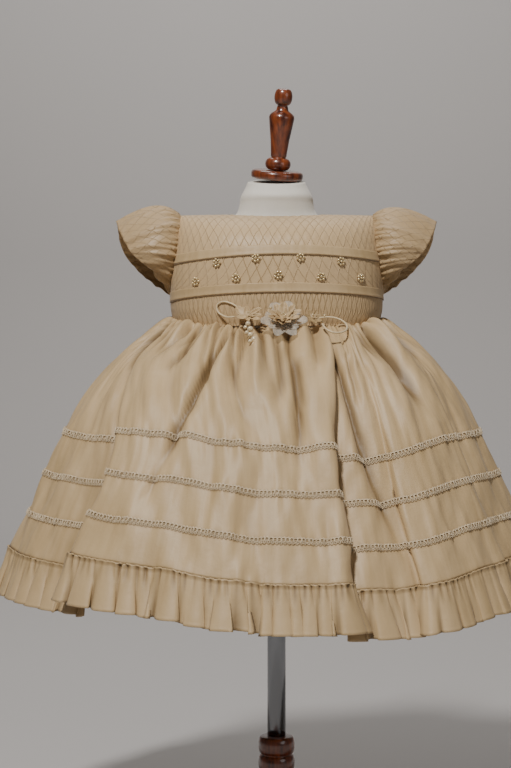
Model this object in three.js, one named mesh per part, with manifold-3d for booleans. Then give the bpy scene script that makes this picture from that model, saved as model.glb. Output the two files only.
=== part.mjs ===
// Christening gown of champagne satin on a child's dress form with a turned wooden stand.
// Millimetres, +Z up. The front faces -Y and the origin is the middle of the stand's underside.
// Angles round the gown are in degrees from the middle of the front, positive towards +X.
import * as THREE from "three";
import { mergeVertices } from "three/addons/utils/BufferGeometryUtils.js";
import Module from "manifold-3d";

const wasm = await Module();
wasm.setup();

// ---------------------------------------------------------------- driving dimensions
const GAP = 0.3; // between pieces that touch
const CLOTH = 1.2; // wall of satin with its turned edges
const TRIM = 1.0; // wall of a tuck, placket or braid

const WAIST_Z = 527; // seam of bodice and skirt
const LOWER_TUCK_Z = 556; // lower edge of the lower folded tuck
const UPPER_TUCK_Z = 592.5; // lower edge of the upper folded tuck
const TUCK_DEPTH = 8.5;
const SHOULDER_Z = 638;
const NECKLINE = { halfWidth: 54, front: 41, back: 37 };
const ARMHOLE = { z: 600, halfHeight: 37.5, halfDepth: 32 };
const SECTION_POWER = 2.3; // squareness of a section of the torso

// Outer surface of the bodice: half width, and depth of front and back, at each height.
const BODICE_SECTIONS = [
  { z: 527, wide: 100.5, front: 78.5, back: 74 },
  { z: 533, wide: 102.5, front: 80, back: 75 },
  { z: 541, wide: 104.5, front: 81, back: 76 },
  { z: 556, wide: 105.5, front: 82, back: 77 },
  { z: 572, wide: 106, front: 82, back: 77 },
  { z: 590, wide: 105, front: 81.5, back: 77 },
  { z: 604, wide: 103.5, front: 78.5, back: 75 },
  { z: 616, wide: 102.5, front: 71, back: 70 },
  { z: 625, wide: 101.5, front: 60, back: 61 },
  { z: 631, wide: 100.5, front: 47, back: 49 },
  { z: 635, wide: 99.5, front: 32, back: 34 },
  { z: 637.2, wide: 98.5, front: 16, back: 17 },
  { z: SHOULDER_Z, wide: 97.5, front: 1, back: 1 },
];

// Rings of the dress form, from the underside to the top of the neck. The height of a ring differs
// at its side, front and back, because the shoulders are higher than the chest.
const FORM_RINGS = [
  { wide: 62, front: 48, back: 46, side: 440, fore: 440, aft: 440 },
  { wide: 82, front: 64, back: 60, side: 446, fore: 446, aft: 446 },
  { wide: 91, front: 71, back: 66, side: 470, fore: 470, aft: 470 },
  { wide: 94, front: 72, back: 68, side: 505, fore: 505, aft: 505 },
  { wide: 98.5, front: 76, back: 72, side: 545, fore: 545, aft: 545 },
  { wide: 101.5, front: 78.5, back: 74, side: 580, fore: 575, aft: 575 },
  { wide: 100.5, front: 75.5, back: 72, side: 606, fore: 600, aft: 600 },
  { wide: 99, front: 66, back: 65, side: 621, fore: 615.5, aft: 616 },
  { wide: 96.5, front: 54, back: 56, side: 628, fore: 622.5, aft: 622.5 },
  { wide: 91, front: 44.5, back: 46, side: 631.5, fore: 626.5, aft: 626.5 },
  { wide: 78, front: 40, back: 38, side: 632.6, fore: 628.4, aft: 629 },
  { wide: 62, front: 37.5, back: 34, side: 633.2, fore: 629.4, aft: 630.6 },
  { wide: 47, front: 33.5, back: 30, side: 634.4, fore: 632, aft: 632 },
  { wide: 40, front: 32.5, back: 30.5, side: 640, fore: 638.5, aft: 640 },
  { wide: 37, front: 33.5, back: 32, side: 648.5, fore: 648, aft: 651 },
  { wide: 36, front: 35, back: 34.5, side: 656, fore: 654, aft: 658 },
  { wide: 31.5, front: 31.5, back: 31.5, side: 665, fore: 660, aft: 670 },
  { wide: 28.6, front: 28.6, back: 28.6, side: 672, fore: 665.9, aft: 678.1 },
];
const NECK_TILT = 12; // degrees that the top of the neck leans forward
const FINIAL_LEAN = 4.5; // degrees that the cap and finial lean towards +X

// Sleeve: a short puffed tube that hangs open. Its hem runs from a raised tip to the underarm.
const SLEEVE = {
  tip: { x: 157, z: 631.5 },
  underarm: { x: 108.5, z: 563 },
  halfDepth: 40,
  bulgeFront: 5,
  bulgeBack: 13,
  puff: 10.5,
  inset: 0.9, // of the armhole, at the sleeve's head
};

// Skirt: half width and depth of the bell at each level, by the length of cloth from the waist.
// Rise is how far the gathers stand up above the waist at the sides.
const SKIRT_LEVELS = [
  { cloth: 0, wide: 100.5, deep: 77, z: 527, rise: 0 },
  { cloth: 7, wide: 106, deep: 82, z: 526.5, rise: 5 },
  { cloth: 17, wide: 115, deep: 91, z: 524, rise: 8 },
  { cloth: 34, wide: 131, deep: 106, z: 516, rise: 6 },
  { cloth: 64, wide: 155, deep: 131, z: 498, rise: 3 },
  { cloth: 100, wide: 179, deep: 158, z: 471, rise: 1 },
  { cloth: 132, wide: 195, deep: 177, z: 443, rise: 0 },
  { cloth: 156, wide: 205, deep: 190, z: 421, rise: 0 },
  { cloth: 199, wide: 222, deep: 209, z: 382, rise: 0 },
  { cloth: 242, wide: 239, deep: 228, z: 343.5, rise: 0 },
  { cloth: 285, wide: 254, deep: 245, z: 308, rise: 0 },
];
const BRAID_CLOTH = [156, 199, 242]; // cloth length at the middle of each row of braid
const BRAID_WIDTH = 7;
const RUFFLE = { depth: 43, flare: 0.36, flute: 4.2, flutes: 3, below: 0.8 };

// Lines of the skirt, in order round it: each is a ridge, a trough or a turn of a fold. Waist and
// hem are its angles at the waist and at the ruffle seam, out is how far it stands from the bell,
// and drop is how much lower it hangs. Where hem runs backwards, the cloth folds over itself.
const SKIRT_LINES = [
  { waist: -90, hem: -90, out: 0, drop: -4 },
  { waist: -80, hem: -74, out: 4, drop: -3 },
  { waist: -74, hem: -61, out: -5, drop: 0 },
  { waist: -70, hem: -50, out: -16, drop: 2 },
  { waist: -67.5, hem: -45.5, out: -19, drop: 3 },
  { waist: -65.5, hem: -46.5, out: -8, drop: -4 },
  { waist: -63.5, hem: -49, out: 3, drop: -13 },
  { waist: -60, hem: -45, out: 8, drop: -13 },
  { waist: -50, hem: -34, out: 6, drop: -9 },
  { waist: -37, hem: -23, out: 1, drop: -6 },
  { waist: -26, hem: -12, out: 6, drop: 0 },
  { waist: -12, hem: -1, out: 3, drop: 5 },
  { waist: 6, hem: 8, out: 3, drop: 6 },
  { waist: 19, hem: 13.5, out: 6, drop: 5 },
  { waist: 22, hem: 15.5, out: -4, drop: 8 },
  { waist: 24, hem: 14.5, out: -12, drop: 13 },
  { waist: 26.5, hem: 19, out: -9, drop: 13 },
  { waist: 29.5, hem: 27, out: -8, drop: 13 },
  { waist: 31.5, hem: 31, out: -9, drop: 12 },
  { waist: 33.5, hem: 30.5, out: 0, drop: 11 },
  { waist: 38, hem: 35, out: 6, drop: 8 },
  { waist: 49, hem: 45, out: 5, drop: 1 },
  { waist: 58, hem: 53, out: 6, drop: -2 },
  { waist: 61, hem: 55, out: -4, drop: 0 },
  { waist: 63, hem: 53, out: -13, drop: 3 },
  { waist: 68, hem: 61, out: -8, drop: 0 },
  { waist: 78, hem: 75, out: 3, drop: -3 },
  { waist: 90, hem: 90, out: 0, drop: -4 },
  { waist: 104, hem: 102, out: 5, drop: -3 },
  { waist: 109, hem: 109, out: 5, drop: 0 },
  { waist: 112, hem: 111.5, out: -5, drop: 3 },
  { waist: 114.5, hem: 110, out: -14, drop: 5 },
  { waist: 120, hem: 118, out: -8, drop: 2 },
  { waist: 131, hem: 132, out: 4, drop: -2 },
  { waist: 142, hem: 143, out: -7, drop: 3 },
  { waist: 146, hem: 149, out: -15, drop: 5 },
  { waist: 148, hem: 147.5, out: -4, drop: 0 },
  { waist: 151, hem: 150, out: 6, drop: -5 },
  { waist: 163, hem: 164, out: 4, drop: -3 },
  { waist: 176, hem: 177, out: -2, drop: 3 },
  { waist: 188, hem: 190, out: 5, drop: -2 },
  { waist: 197, hem: 200, out: 6, drop: -4 },
  { waist: 200, hem: 203, out: -4, drop: 1 },
  { waist: 202.5, hem: 201.5, out: -14, drop: 6 },
  { waist: 209, hem: 211, out: -8, drop: 3 },
  { waist: 221, hem: 224, out: 5, drop: -3 },
  { waist: 233, hem: 236, out: -7, drop: 1 },
  { waist: 238, hem: 243, out: -15, drop: 4 },
  { waist: 241, hem: 241.5, out: -4, drop: 0 },
  { waist: 244, hem: 244, out: 6, drop: -4 },
  { waist: 257, hem: 256, out: 3, drop: -4 },
];
const LEFT_SEAM = 0; // line at the left side seam, where the ring of lines also closes
const RIGHT_SEAM = 27; // line at the right side seam
const FOLD_FROM = 20; // length of cloth from the waist at which the folds start to stand out

// Little flowers of beads on the middle tier: angle round the front, and height.
const BEAD_FLOWERS = [
  { angle: -49, z: 572.5 },
  { angle: -34, z: 587 },
  { angle: -22, z: 573 },
  { angle: -11, z: 587 },
  { angle: 1, z: 573 },
  { angle: 13, z: 587 },
  { angle: 24, z: 573 },
  { angle: 35, z: 587 },
  { angle: 52, z: 572.5 },
];
const BEAD_FLOWER = { radius: 3.9, height: 2 };

// Spray at the waist: three cloth flowers, a drop of pearls and two loops of cord.
// Lean is how far a flower faces up, and side how far it faces towards +X, in degrees.
const SPRAY = {
  organza: { x: 4.5, y: -96.5, z: 529, radius: 21.5, petals: 5, depth: 2, lean: 44, side: 2 },
  centre: { x: 5, y: -98.2, z: 531.5, radius: 19, petals: 6, depth: 5, lean: 44, side: 2 },
  left: { x: -30.5, y: -87.2, z: 534.5, radius: 12, petals: 5, depth: 4, lean: 38, side: -8 },
  right: { x: 33.5, y: -84.5, z: 531.5, radius: 9, petals: 5, depth: 4, lean: 38, side: 12 },
};
const LOOP_CORD = 1.8; // diameter of the cord
// Routes of the two loops: across, up, and how far in front of the bodice.
const LOOP_LEFT = [
  [-39.3, 543.4, 1.9], [-44.7, 546.5, 1.7], [-51.4, 548.1, 1.7], [-56.7, 545.9, 1.7], [-57.8, 542.1, 1.8],
  [-55.6, 537.2, 3], [-49.1, 533.6, 6], [-45.2, 533, 8], [-43.6, 533.2, 9],
];
const LOOP_RIGHT = [
  [41, 533, 4.6], [48.4, 533.2, 5], [54.2, 533.4, 9], [61.6, 532, 10], [65.7, 528, 17],
  [63.8, 523.5, 26], [57, 521.5, 30], [49.7, 522.5, 27], [46, 526, 21],
];
// Beads of the drop, which lies on the top of the skirt.
const DROP = [
  { x: -28, y: -97.3, z: 526, radius: 2.2 },
  { x: -30, y: -100, z: 524.1, radius: 2 },
  { x: -25.8, y: -104, z: 520.8, radius: 2.7 },
  { x: -27.3, y: -108, z: 516.4, radius: 1.5 },
  { x: -24.8, y: -111.5, z: 513.8, radius: 1.5 },
  { x: -21.8, y: -115.5, z: 511.8, radius: 2.5 },
  { x: -24.6, y: -119.5, z: 508.8, radius: 1.5 },
  { x: -20.6, y: -121, z: 507.6, radius: 1.5 },
];
const BUTTON = { radius: 4.5, height: 2.2, spacing: 26, count: 4 };

// Stand
const POLE = { radius: 9.2, foot: 112 };
const BASE = { radius: 118, height: 22 };

const SATIN = 0xcdb596;
const TUCKED = 0xc8b296;

// ---------------------------------------------------------------- helpers
const rad = THREE.MathUtils.degToRad;
const lerp = THREE.MathUtils.lerp;

// Smooth curve through four values, at t from 0 to 1 between the middle two.
function throughFour(p0, p1, p2, p3, t) {
  const start = (p2 - p0) / 2;
  const end = (p3 - p1) / 2;
  const turn = 2 * (p1 - p2) + start + end;
  const bend = -3 * (p1 - p2) - 2 * start - end;
  return ((turn * t + bend) * t + start) * t + p1;
}

// A table's columns at one value of its key column, straight between rows.
function rowAt(table, key, value) {
  const last = table.length - 1;
  let i = 0;
  while (i < last - 1 && table[i + 1][key] < value) i += 1;
  const below = table[i];
  const above = table[i + 1];
  const t = THREE.MathUtils.clamp((value - below[key]) / (above[key] - below[key]), 0, 1);
  return Object.fromEntries(Object.keys(below).map((k) => [k, lerp(below[k], above[k], t)]));
}

// A grid of points moved along its own normals. closed says that its columns run right round.
function moved(grid, distance, closed) {
  const columns = grid.length;
  const rows = grid[0].length;
  const at = (i) => (closed ? (i + columns) % columns : Math.min(Math.max(i, 0), columns - 1));
  return grid.map((column, i) =>
    column.map((point, j) => {
      const across = grid[at(i + 1)][j].clone().sub(grid[at(i - 1)][j]);
      const down = column[Math.min(j + 1, rows - 1)].clone().sub(column[Math.max(j - 1, 0)]);
      const normal = down.cross(across).normalize();
      return point.clone().addScaledVector(normal, distance);
    }),
  );
}

// The closed solid between two grids of the same size, outer and inner.
function between(outer, inner, closed) {
  const columns = outer.length;
  const rows = outer[0].length;
  const points = [...outer.flat(), ...inner.flat()];
  const index = (layer, i, j) => layer * columns * rows + (i % columns) * rows + j;
  const faces = [];
  const quad = (a, b, c, d) => faces.push(a, b, c, a, c, d);
  const spans = closed ? columns : columns - 1;
  for (let i = 0; i < spans; i += 1) {
    for (let j = 0; j < rows - 1; j += 1) {
      quad(index(0, i, j), index(0, i, j + 1), index(0, i + 1, j + 1), index(0, i + 1, j));
      quad(index(1, i, j), index(1, i + 1, j), index(1, i + 1, j + 1), index(1, i, j + 1));
    }
    quad(index(0, i, 0), index(0, i + 1, 0), index(1, i + 1, 0), index(1, i, 0));
    const end = rows - 1;
    quad(index(0, i, end), index(1, i, end), index(1, i + 1, end), index(0, i + 1, end));
  }
  if (!closed) {
    const side = columns - 1;
    for (let j = 0; j < rows - 1; j += 1) {
      quad(index(0, 0, j), index(1, 0, j), index(1, 0, j + 1), index(0, 0, j + 1));
      quad(index(0, side, j), index(0, side, j + 1), index(1, side, j + 1), index(1, side, j));
    }
  }
  return geometryOf(points, faces);
}

function geometryOf(points, faces) {
  const geometry = new THREE.BufferGeometry();
  geometry.setAttribute("position", new THREE.Float32BufferAttribute(points.flatMap((p) => p.toArray()), 3));
  geometry.setIndex(faces);
  return geometry;
}

// A wall of cloth whose outer face is the grid.
const wall = (grid, thickness, closed = false) => between(grid, moved(grid, -thickness, closed), closed);

// A strip that lies on a panel: the panel's own points, moved out.
const laidOn = (grid, thickness, closed = false) =>
  between(moved(grid, GAP + thickness, closed), moved(grid, GAP, closed), closed);

const range = (from, to, count) => Array.from({ length: count + 1 }, (_, i) => lerp(from, to, i / count));

function solidOf(geometry) {
  return new wasm.Manifold(
    new wasm.Mesh({
      numProp: 3,
      vertProperties: new Float32Array(geometry.attributes.position.array),
      triVerts: new Uint32Array(geometry.index.array),
    }),
  );
}

function geometryFrom(solid) {
  const mesh = solid.getMesh();
  const points = [];
  for (let i = 0; i < mesh.numVert; i += 1) {
    points.push(new THREE.Vector3().fromArray(mesh.vertProperties, i * mesh.numProp));
  }
  return geometryOf(points, Array.from(mesh.triVerts));
}

const gown = new THREE.Group();
const stand = new THREE.Group();

function add(group, name, geometry, colour, roughness = 0.6, metalness = 0) {
  const mesh = new THREE.Mesh(geometry, new THREE.MeshStandardMaterial({ color: colour, roughness, metalness }));
  mesh.name = name;
  group.add(mesh);
  return mesh;
}

// ---------------------------------------------------------------- bodice
// A point of a squared ellipse; turn is in radians from the front, and positive towards +X.
function sectionPoint(wide, deep, turn) {
  const power = 2 / SECTION_POWER;
  const x = Math.sign(Math.sin(turn)) * wide * Math.abs(Math.sin(turn)) ** power;
  const y = deep * Math.abs(Math.cos(turn)) ** power;
  return { x, y };
}

// A point on the outside of the bodice. side is "front" or "back".
function bodicePoint(side, z, turn) {
  const section = rowAt(BODICE_SECTIONS, "z", z);
  const { x, y } = sectionPoint(section.wide, section[side], turn);
  return new THREE.Vector3(x, side === "front" ? -y - GAP : y + GAP, z);
}

// How far round the side of a panel lies at this height: at the side seam, or at the armhole.
function panelEdge(side, z) {
  const rise = (z - ARMHOLE.z) / ARMHOLE.halfHeight;
  const seam = Math.PI / 2 - 0.0006;
  if (Math.abs(rise) >= 1) return seam;
  const open = ARMHOLE.halfDepth * Math.sqrt(1 - rise * rise);
  const deep = rowAt(BODICE_SECTIONS, "z", z)[side];
  return Math.min(seam, Math.acos(Math.min(1, open / deep) ** (SECTION_POWER / 2)));
}

// The height at which a column of the panel ends: at the neckline, or at the shoulder seam.
function panelTop(side, share) {
  const inNeck = (z) => {
    const p = bodicePoint(side, z, share * panelEdge(side, z));
    return (p.x / NECKLINE.halfWidth) ** 2 + (p.y / NECKLINE[side]) ** 2 < 1;
  };
  if (!inNeck(SHOULDER_Z)) return SHOULDER_Z;
  let low = UPPER_TUCK_Z;
  let high = SHOULDER_Z;
  for (let step = 0; step < 40; step += 1) {
    const middle = (low + high) / 2;
    if (inNeck(middle)) high = middle;
    else low = middle;
  }
  return low;
}

// Columns of a panel: shares of its width from the middle, closer together towards the sides.
const FRONT_SHARES = [-1, -0.93, -0.84, -0.74, -0.63, -0.535, -0.42, -0.28, -0.14, 0];
const frontShares = [...FRONT_SHARES, ...FRONT_SHARES.slice(0, -1).reverse().map((s) => -s)];
const UPPER_RISE = [0, 0.3, 0.55, 0.75, 0.88, 0.96, 1];

// A piece of the bodice between two heights. top may be a height or, as null, the neck and shoulder.
function bodiceGrid(side, shares, bottom, top, rises) {
  const grid = shares.map((share) => {
    const end = top ?? panelTop(side, share);
    return rises.map((rise) => {
      const z = lerp(end, bottom, 1 - rise);
      return bodicePoint(side, z, share * panelEdge(side, z));
    }).reverse();
  });
  return side === "front" ? grid : grid.reverse();
}

function addBodiceFront() {
  const lower = bodiceGrid("front", frontShares, WAIST_Z + GAP, LOWER_TUCK_Z - 0.5, [0, 0.35, 1]);
  const middle = bodiceGrid("front", frontShares, LOWER_TUCK_Z, UPPER_TUCK_Z - 0.5, [0, 0.5, 1]);
  const upper = bodiceGrid("front", frontShares, UPPER_TUCK_Z, null, UPPER_RISE);
  add(gown, "bodice_front_lower", wall(lower, CLOTH), TUCKED);
  add(gown, "bodice_front_middle", wall(middle, CLOTH), TUCKED);
  add(gown, "bodice_front_upper", wall(upper, CLOTH), TUCKED);
  const inset = frontShares.map((share) => share * 0.985);
  const lowerTuck = bodiceGrid("front", inset, LOWER_TUCK_Z, LOWER_TUCK_Z + TUCK_DEPTH, [0, 1]);
  const upperTuck = bodiceGrid("front", inset, UPPER_TUCK_Z, UPPER_TUCK_Z + TUCK_DEPTH, [0, 1]);
  add(gown, "tuck_lower", laidOn(lowerTuck, TRIM), SATIN);
  add(gown, "tuck_upper", laidOn(upperTuck, TRIM), SATIN);
}

function addBodiceBack() {
  const half = [0.002, 0.14, 0.28, 0.42, 0.56, 0.68, 0.8, 0.91, 1];
  const rises = [0, 0.2, 0.45, 0.68, 0.82, 0.91, 0.97, 1];
  const right = bodiceGrid("back", half, WAIST_Z + GAP, null, rises);
  const left = bodiceGrid("back", half.map((s) => -s).reverse(), WAIST_Z + GAP, null, rises);
  add(gown, "bodice_back_right", wall(right, CLOTH), TUCKED);
  add(gown, "bodice_back_left", wall(left, CLOTH), TUCKED);
  const placket = bodiceGrid("back", [-0.055, 0.055], WAIST_Z + GAP, null, rises);
  add(gown, "back_placket", laidOn(placket, TRIM), SATIN);
  for (let n = 0; n < BUTTON.count; n += 1) {
    const z = WAIST_Z + 14 + n * BUTTON.spacing;
    const seat = bodicePoint("back", z, 0);
    const above = bodicePoint("back", z + 1, 0);
    const lean = Math.atan2(seat.y - above.y, 1);
    const button = new THREE.CylinderGeometry(BUTTON.radius, BUTTON.radius, BUTTON.height, 12);
    const mesh = add(gown, `button_${n + 1}`, button, SATIN);
    mesh.rotation.x = lean;
    const out = 2 * GAP + TRIM + BUTTON.height / 2 + 0.25;
    mesh.position.set(0, seat.y + out * Math.cos(lean), seat.z + out * Math.sin(lean));
  }
}

// ---------------------------------------------------------------- sleeves
// A point of the armhole; turn is in radians from its top, and positive towards the front.
function armholePoint(turn) {
  const z = ARMHOLE.z + ARMHOLE.halfHeight * SLEEVE.inset * Math.cos(turn);
  const y = ARMHOLE.halfDepth * SLEEVE.inset * Math.sin(turn);
  const side = y > 0 ? "front" : "back";
  const section = rowAt(BODICE_SECTIONS, "z", z);
  const share = Math.min(1, Math.abs(y) / section[side]);
  const x = section.wide * (1 - share ** SECTION_POWER) ** (1 / SECTION_POWER);
  return new THREE.Vector3(x, -y, z);
}

function sleevePoint(turn, along) {
  const middle = { x: (SLEEVE.tip.x + SLEEVE.underarm.x) / 2, z: (SLEEVE.tip.z + SLEEVE.underarm.z) / 2 };
  const rise = { x: (SLEEVE.tip.x - SLEEVE.underarm.x) / 2, z: (SLEEVE.tip.z - SLEEVE.underarm.z) / 2 };
  const length = Math.hypot(rise.x, rise.z);
  const across = Math.sin(turn);
  const bulge = (across > 0 ? SLEEVE.bulgeFront : SLEEVE.bulgeBack) * across * across;
  const hem = new THREE.Vector3(
    middle.x + rise.x * Math.cos(turn) + (bulge * rise.z) / length,
    -SLEEVE.halfDepth * across,
    middle.z + rise.z * Math.cos(turn) - (bulge * rise.x) / length,
  );
  const start = armholePoint(turn);
  const puff = SLEEVE.puff * Math.sin(Math.PI * along ** 0.75) * (0.35 + 0.65 * Math.cos(turn / 2) ** 2);
  const point = start.lerp(hem, along);
  point.y -= puff * across;
  point.z += puff * Math.max(0, Math.cos(turn));
  return point;
}

function addSleeves() {
  const turns = range(-Math.PI, Math.PI, 22).slice(0, -1);
  for (const [name, mirror] of [["sleeve_right", 1], ["sleeve_left", -1]]) {
    const grid = turns.map((turn) =>
      [0, 0.12, 0.32, 0.6, 1].map((along) => {
        const point = sleevePoint(turn, along);
        point.x *= mirror;
        return point;
      }),
    );
    add(gown, name, wall(mirror > 0 ? grid : grid.reverse(), CLOTH, true), TUCKED);
  }
}

// ---------------------------------------------------------------- skirt
// A line of the skirt at any place between two lines of the table.
function skirtLine(place) {
  const count = SKIRT_LINES.length;
  const i = Math.floor(place);
  const row = (k) => {
    const line = SKIRT_LINES[((k % count) + count) % count];
    const laps = Math.floor(k / count) * 360;
    return { ...line, waist: line.waist + laps, hem: line.hem + laps };
  };
  const rows = [row(i - 1), row(i), row(i + 1), row(i + 2)];
  const column = (key) => throughFour(...rows.map((r) => r[key]), place - i);
  return { waist: column("waist"), hem: column("hem"), out: column("out"), drop: column("drop") };
}

const smooth = (t) => {
  const s = THREE.MathUtils.clamp(t, 0, 1);
  return s * s * (3 - 2 * s);
};

// A point on the outside of the skirt: place among its lines, and length of cloth from the waist.
function skirtPoint(place, cloth) {
  const line = skirtLine(place);
  const level = rowAt(SKIRT_LEVELS, "cloth", cloth);
  const full = SKIRT_LEVELS.at(-1).cloth;
  const turned = smooth((cloth / full) * 1.5);
  const angle = rad(lerp(line.waist, line.hem, turned));
  const stand = smooth((cloth - FOLD_FROM) / (full * 0.6));
  const wide = level.wide + line.out * stand;
  const deep = level.deep + line.out * stand;
  const side = Math.abs(Math.sin(angle)) ** 4;
  const { x, y } = sectionPoint(wide, deep, 0);
  const power = lerp(2 / SECTION_POWER, 1, smooth(cloth / 60));
  return new THREE.Vector3(
    Math.sign(Math.sin(angle)) * wide * Math.abs(Math.sin(angle)) ** power,
    -Math.sign(Math.cos(angle)) * deep * Math.abs(Math.cos(angle)) ** power,
    level.z + level.rise * side - line.drop * smooth(cloth / (full * 0.55)),
  );
}

// Rows of the skirt's panels: two at the edges of each braid, so that the braid lies on flat cloth.
const LEVELS = [0, 17, 34, 64, 100, 130, ...BRAID_CLOTH.flatMap((c) => [c - BRAID_WIDTH / 2, c + BRAID_WIDTH / 2]), 285];

function skirtGrid(places, cloths) {
  return places.map((place) => cloths.map((cloth) => skirtPoint(place, cloth)));
}

// Moves the last column of a piece back by half a gap, so that two pieces part at their seam.
function parted(grid) {
  const ease = (at, towards) =>
    at.forEach((point, j) => {
      const step = towards[j].clone().sub(point).setLength(GAP / 2);
      point.add(step);
    });
  ease(grid[0], grid[1]);
  ease(grid.at(-1), grid.at(-2));
  return grid;
}

function addSkirt() {
  const lines = SKIRT_LINES.length;
  const front = range(LEFT_SEAM, RIGHT_SEAM, RIGHT_SEAM - LEFT_SEAM);
  const back = range(RIGHT_SEAM, lines, lines - RIGHT_SEAM);
  add(gown, "skirt_front", wall(parted(skirtGrid(front, LEVELS)), CLOTH), SATIN);
  add(gown, "skirt_back", wall(parted(skirtGrid(back, LEVELS)), CLOTH), SATIN);
}

function addBraids() {
  const places = range(0, SKIRT_LINES.length, SKIRT_LINES.length).slice(0, -1);
  const names = ["braid_upper", "braid_middle", "braid_lower"];
  BRAID_CLOTH.forEach((cloth, n) => {
    const half = BRAID_WIDTH / 2;
    const grid = skirtGrid(places, [cloth - half, cloth + half]);
    add(gown, names[n], laidOn(moved(grid, 0.2, true), TRIM, true), 0xd8c8ae, 0.8);
  });
}

function addRuffle() {
  const places = range(0, SKIRT_LINES.length, SKIRT_LINES.length * RUFFLE.flutes).slice(0, -1);
  const full = SKIRT_LEVELS.at(-1).cloth;
  const seam = skirtGrid(places, [full - 4, full]);
  const out = moved(seam, 1, true);
  const grid = seam.map((column, i) => {
    const top = column[1];
    const normal = out[i][1].clone().sub(top).setZ(0).normalize();
    return [0, 1].map((share) => {
      const flute = (i % 2 ? 1 : -1) * RUFFLE.flute * share;
      const point = top.clone();
      point.z -= RUFFLE.below + RUFFLE.depth * share;
      return point.addScaledVector(normal, RUFFLE.depth * RUFFLE.flare * share + flute);
    });
  });
  add(gown, "ruffle", wall(grid, CLOTH, true), SATIN);
}

addBodiceFront();
addBodiceBack();
addSleeves();
addSkirt();
addBraids();
addRuffle();

// ---------------------------------------------------------------- dress form and stand
function addForm() {
  const turns = range(-Math.PI, Math.PI, 36).slice(0, -1);
  const grid = FORM_RINGS.map((ring) =>
    turns.map((turn) => {
      const ahead = Math.cos(turn) > 0;
      const { x, y } = sectionPoint(ring.wide, ahead ? ring.front : ring.back, turn);
      const outward = Math.abs(Math.cos(turn)) ** (ring === FORM_RINGS.at(-1) ? 1 : 2);
      const z = lerp(ring.side, ahead ? ring.fore : ring.aft, outward);
      return new THREE.Vector3(x, ahead ? -y : y, z);
    }),
  );
  const count = turns.length;
  const points = grid.flat();
  const faces = [];
  for (let k = 0; k < grid.length - 1; k += 1) {
    for (let i = 0; i < count; i += 1) {
      const a = k * count + i;
      const b = k * count + ((i + 1) % count);
      faces.push(a, b, b + count, a, b + count, a + count);
    }
  }
  const middleOf = (ring) => ring.reduce((sum, p) => sum.add(p), new THREE.Vector3()).divideScalar(count);
  const ends = [middleOf(grid[0]), middleOf(grid.at(-1))];
  const top = (grid.length - 1) * count;
  points.push(...ends);
  for (let i = 0; i < count; i += 1) {
    const next = (i + 1) % count;
    faces.push(points.length - 2, next, i);
    faces.push(points.length - 1, top + i, top + next);
  }
  add(stand, "form_body", geometryOf(points, faces), 0xe6dfd2, 0.9);
}

// A turned piece: the profile is radius and height from its foot, and starts and ends on the axis.
function turned(profile, segments = 24) {
  const lathe = new THREE.LatheGeometry(profile.map(([r, h]) => new THREE.Vector2(r, h)), segments);
  return lathe.rotateX(Math.PI / 2);
}

// Points of a round bead from one height to another.
function bead(radius, from, to, root, steps = 5) {
  return range(0, Math.PI, steps).map((turn) => [
    root + (radius - root) * Math.sin(turn),
    (from + to) / 2 - ((to - from) / 2) * Math.cos(turn),
  ]);
}

function addStand() {
  const wood = 0x5a2413;
  const base = turned([
    [0, 0], [BASE.radius - 2, 0], [BASE.radius, 3], [BASE.radius, 10], [BASE.radius - 6, 14],
    [BASE.radius - 12, 15], [60, 19], [34, BASE.height], [0, BASE.height],
  ], 36);
  add(stand, "stand_base", base, wood, 0.35);
  const foot = BASE.height + GAP;
  const column = turned([
    [0, foot], [26, foot], [27, foot + 3], [25, foot + 7], [17, foot + 11], [14.5, foot + 20],
    [16, foot + 34], [20, foot + 46], [19, foot + 52], [15.6, foot + 57],
    ...bead(18.2, foot + 61, foot + 78, 15.6),
    ...bead(18.2, foot + 79, foot + 96, 15.6),
    [POLE.radius + 1, foot + 96.5], [0, foot + 96.5],
  ]);
  add(stand, "stand_column", column, wood, 0.3);
  const poleFoot = foot + 96.5 + GAP;
  const pole = new THREE.CylinderGeometry(POLE.radius, POLE.radius, 440 - GAP - poleFoot, 28);
  pole.rotateX(Math.PI / 2);
  const mesh = add(stand, "pole", pole, 0xb8bcc0, 0.15, 1);
  mesh.position.z = (440 - GAP + poleFoot) / 2;
}

function addFinial() {
  const wood = 0x4a1c10;
  const top = new THREE.Group();
  top.position.set(0, 0, 672);
  top.rotation.set(rad(NECK_TILT), rad(FINIAL_LEAN), 0);
  const lift = 2.8; // clears the rim of the neck, which doesn't lean sideways
  const cap = turned([[0, lift], [24, lift], [26, lift + 2.5], [26, lift + 6], [23.5, lift + 8.5], [0, lift + 8.5]]);
  add(top, "neck_cap", cap, wood, 0.3);
  const seat = lift + 8.5 + GAP;
  const finial = turned([
    [0, seat],
    ...bead(12.8, seat, seat + 12.5, 7),
    [8, seat + 14], [9.5, seat + 30], [12.7, seat + 52], [11.5, seat + 55], [6, seat + 59], [5.5, seat + 62],
    ...bead(9, seat + 64, seat + 80, 5).slice(0, -1),
    [0, seat + 80.5],
  ]);
  add(top, "finial", finial, wood, 0.3);
  stand.add(top);
}

addForm();
addStand();
addFinial();

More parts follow.
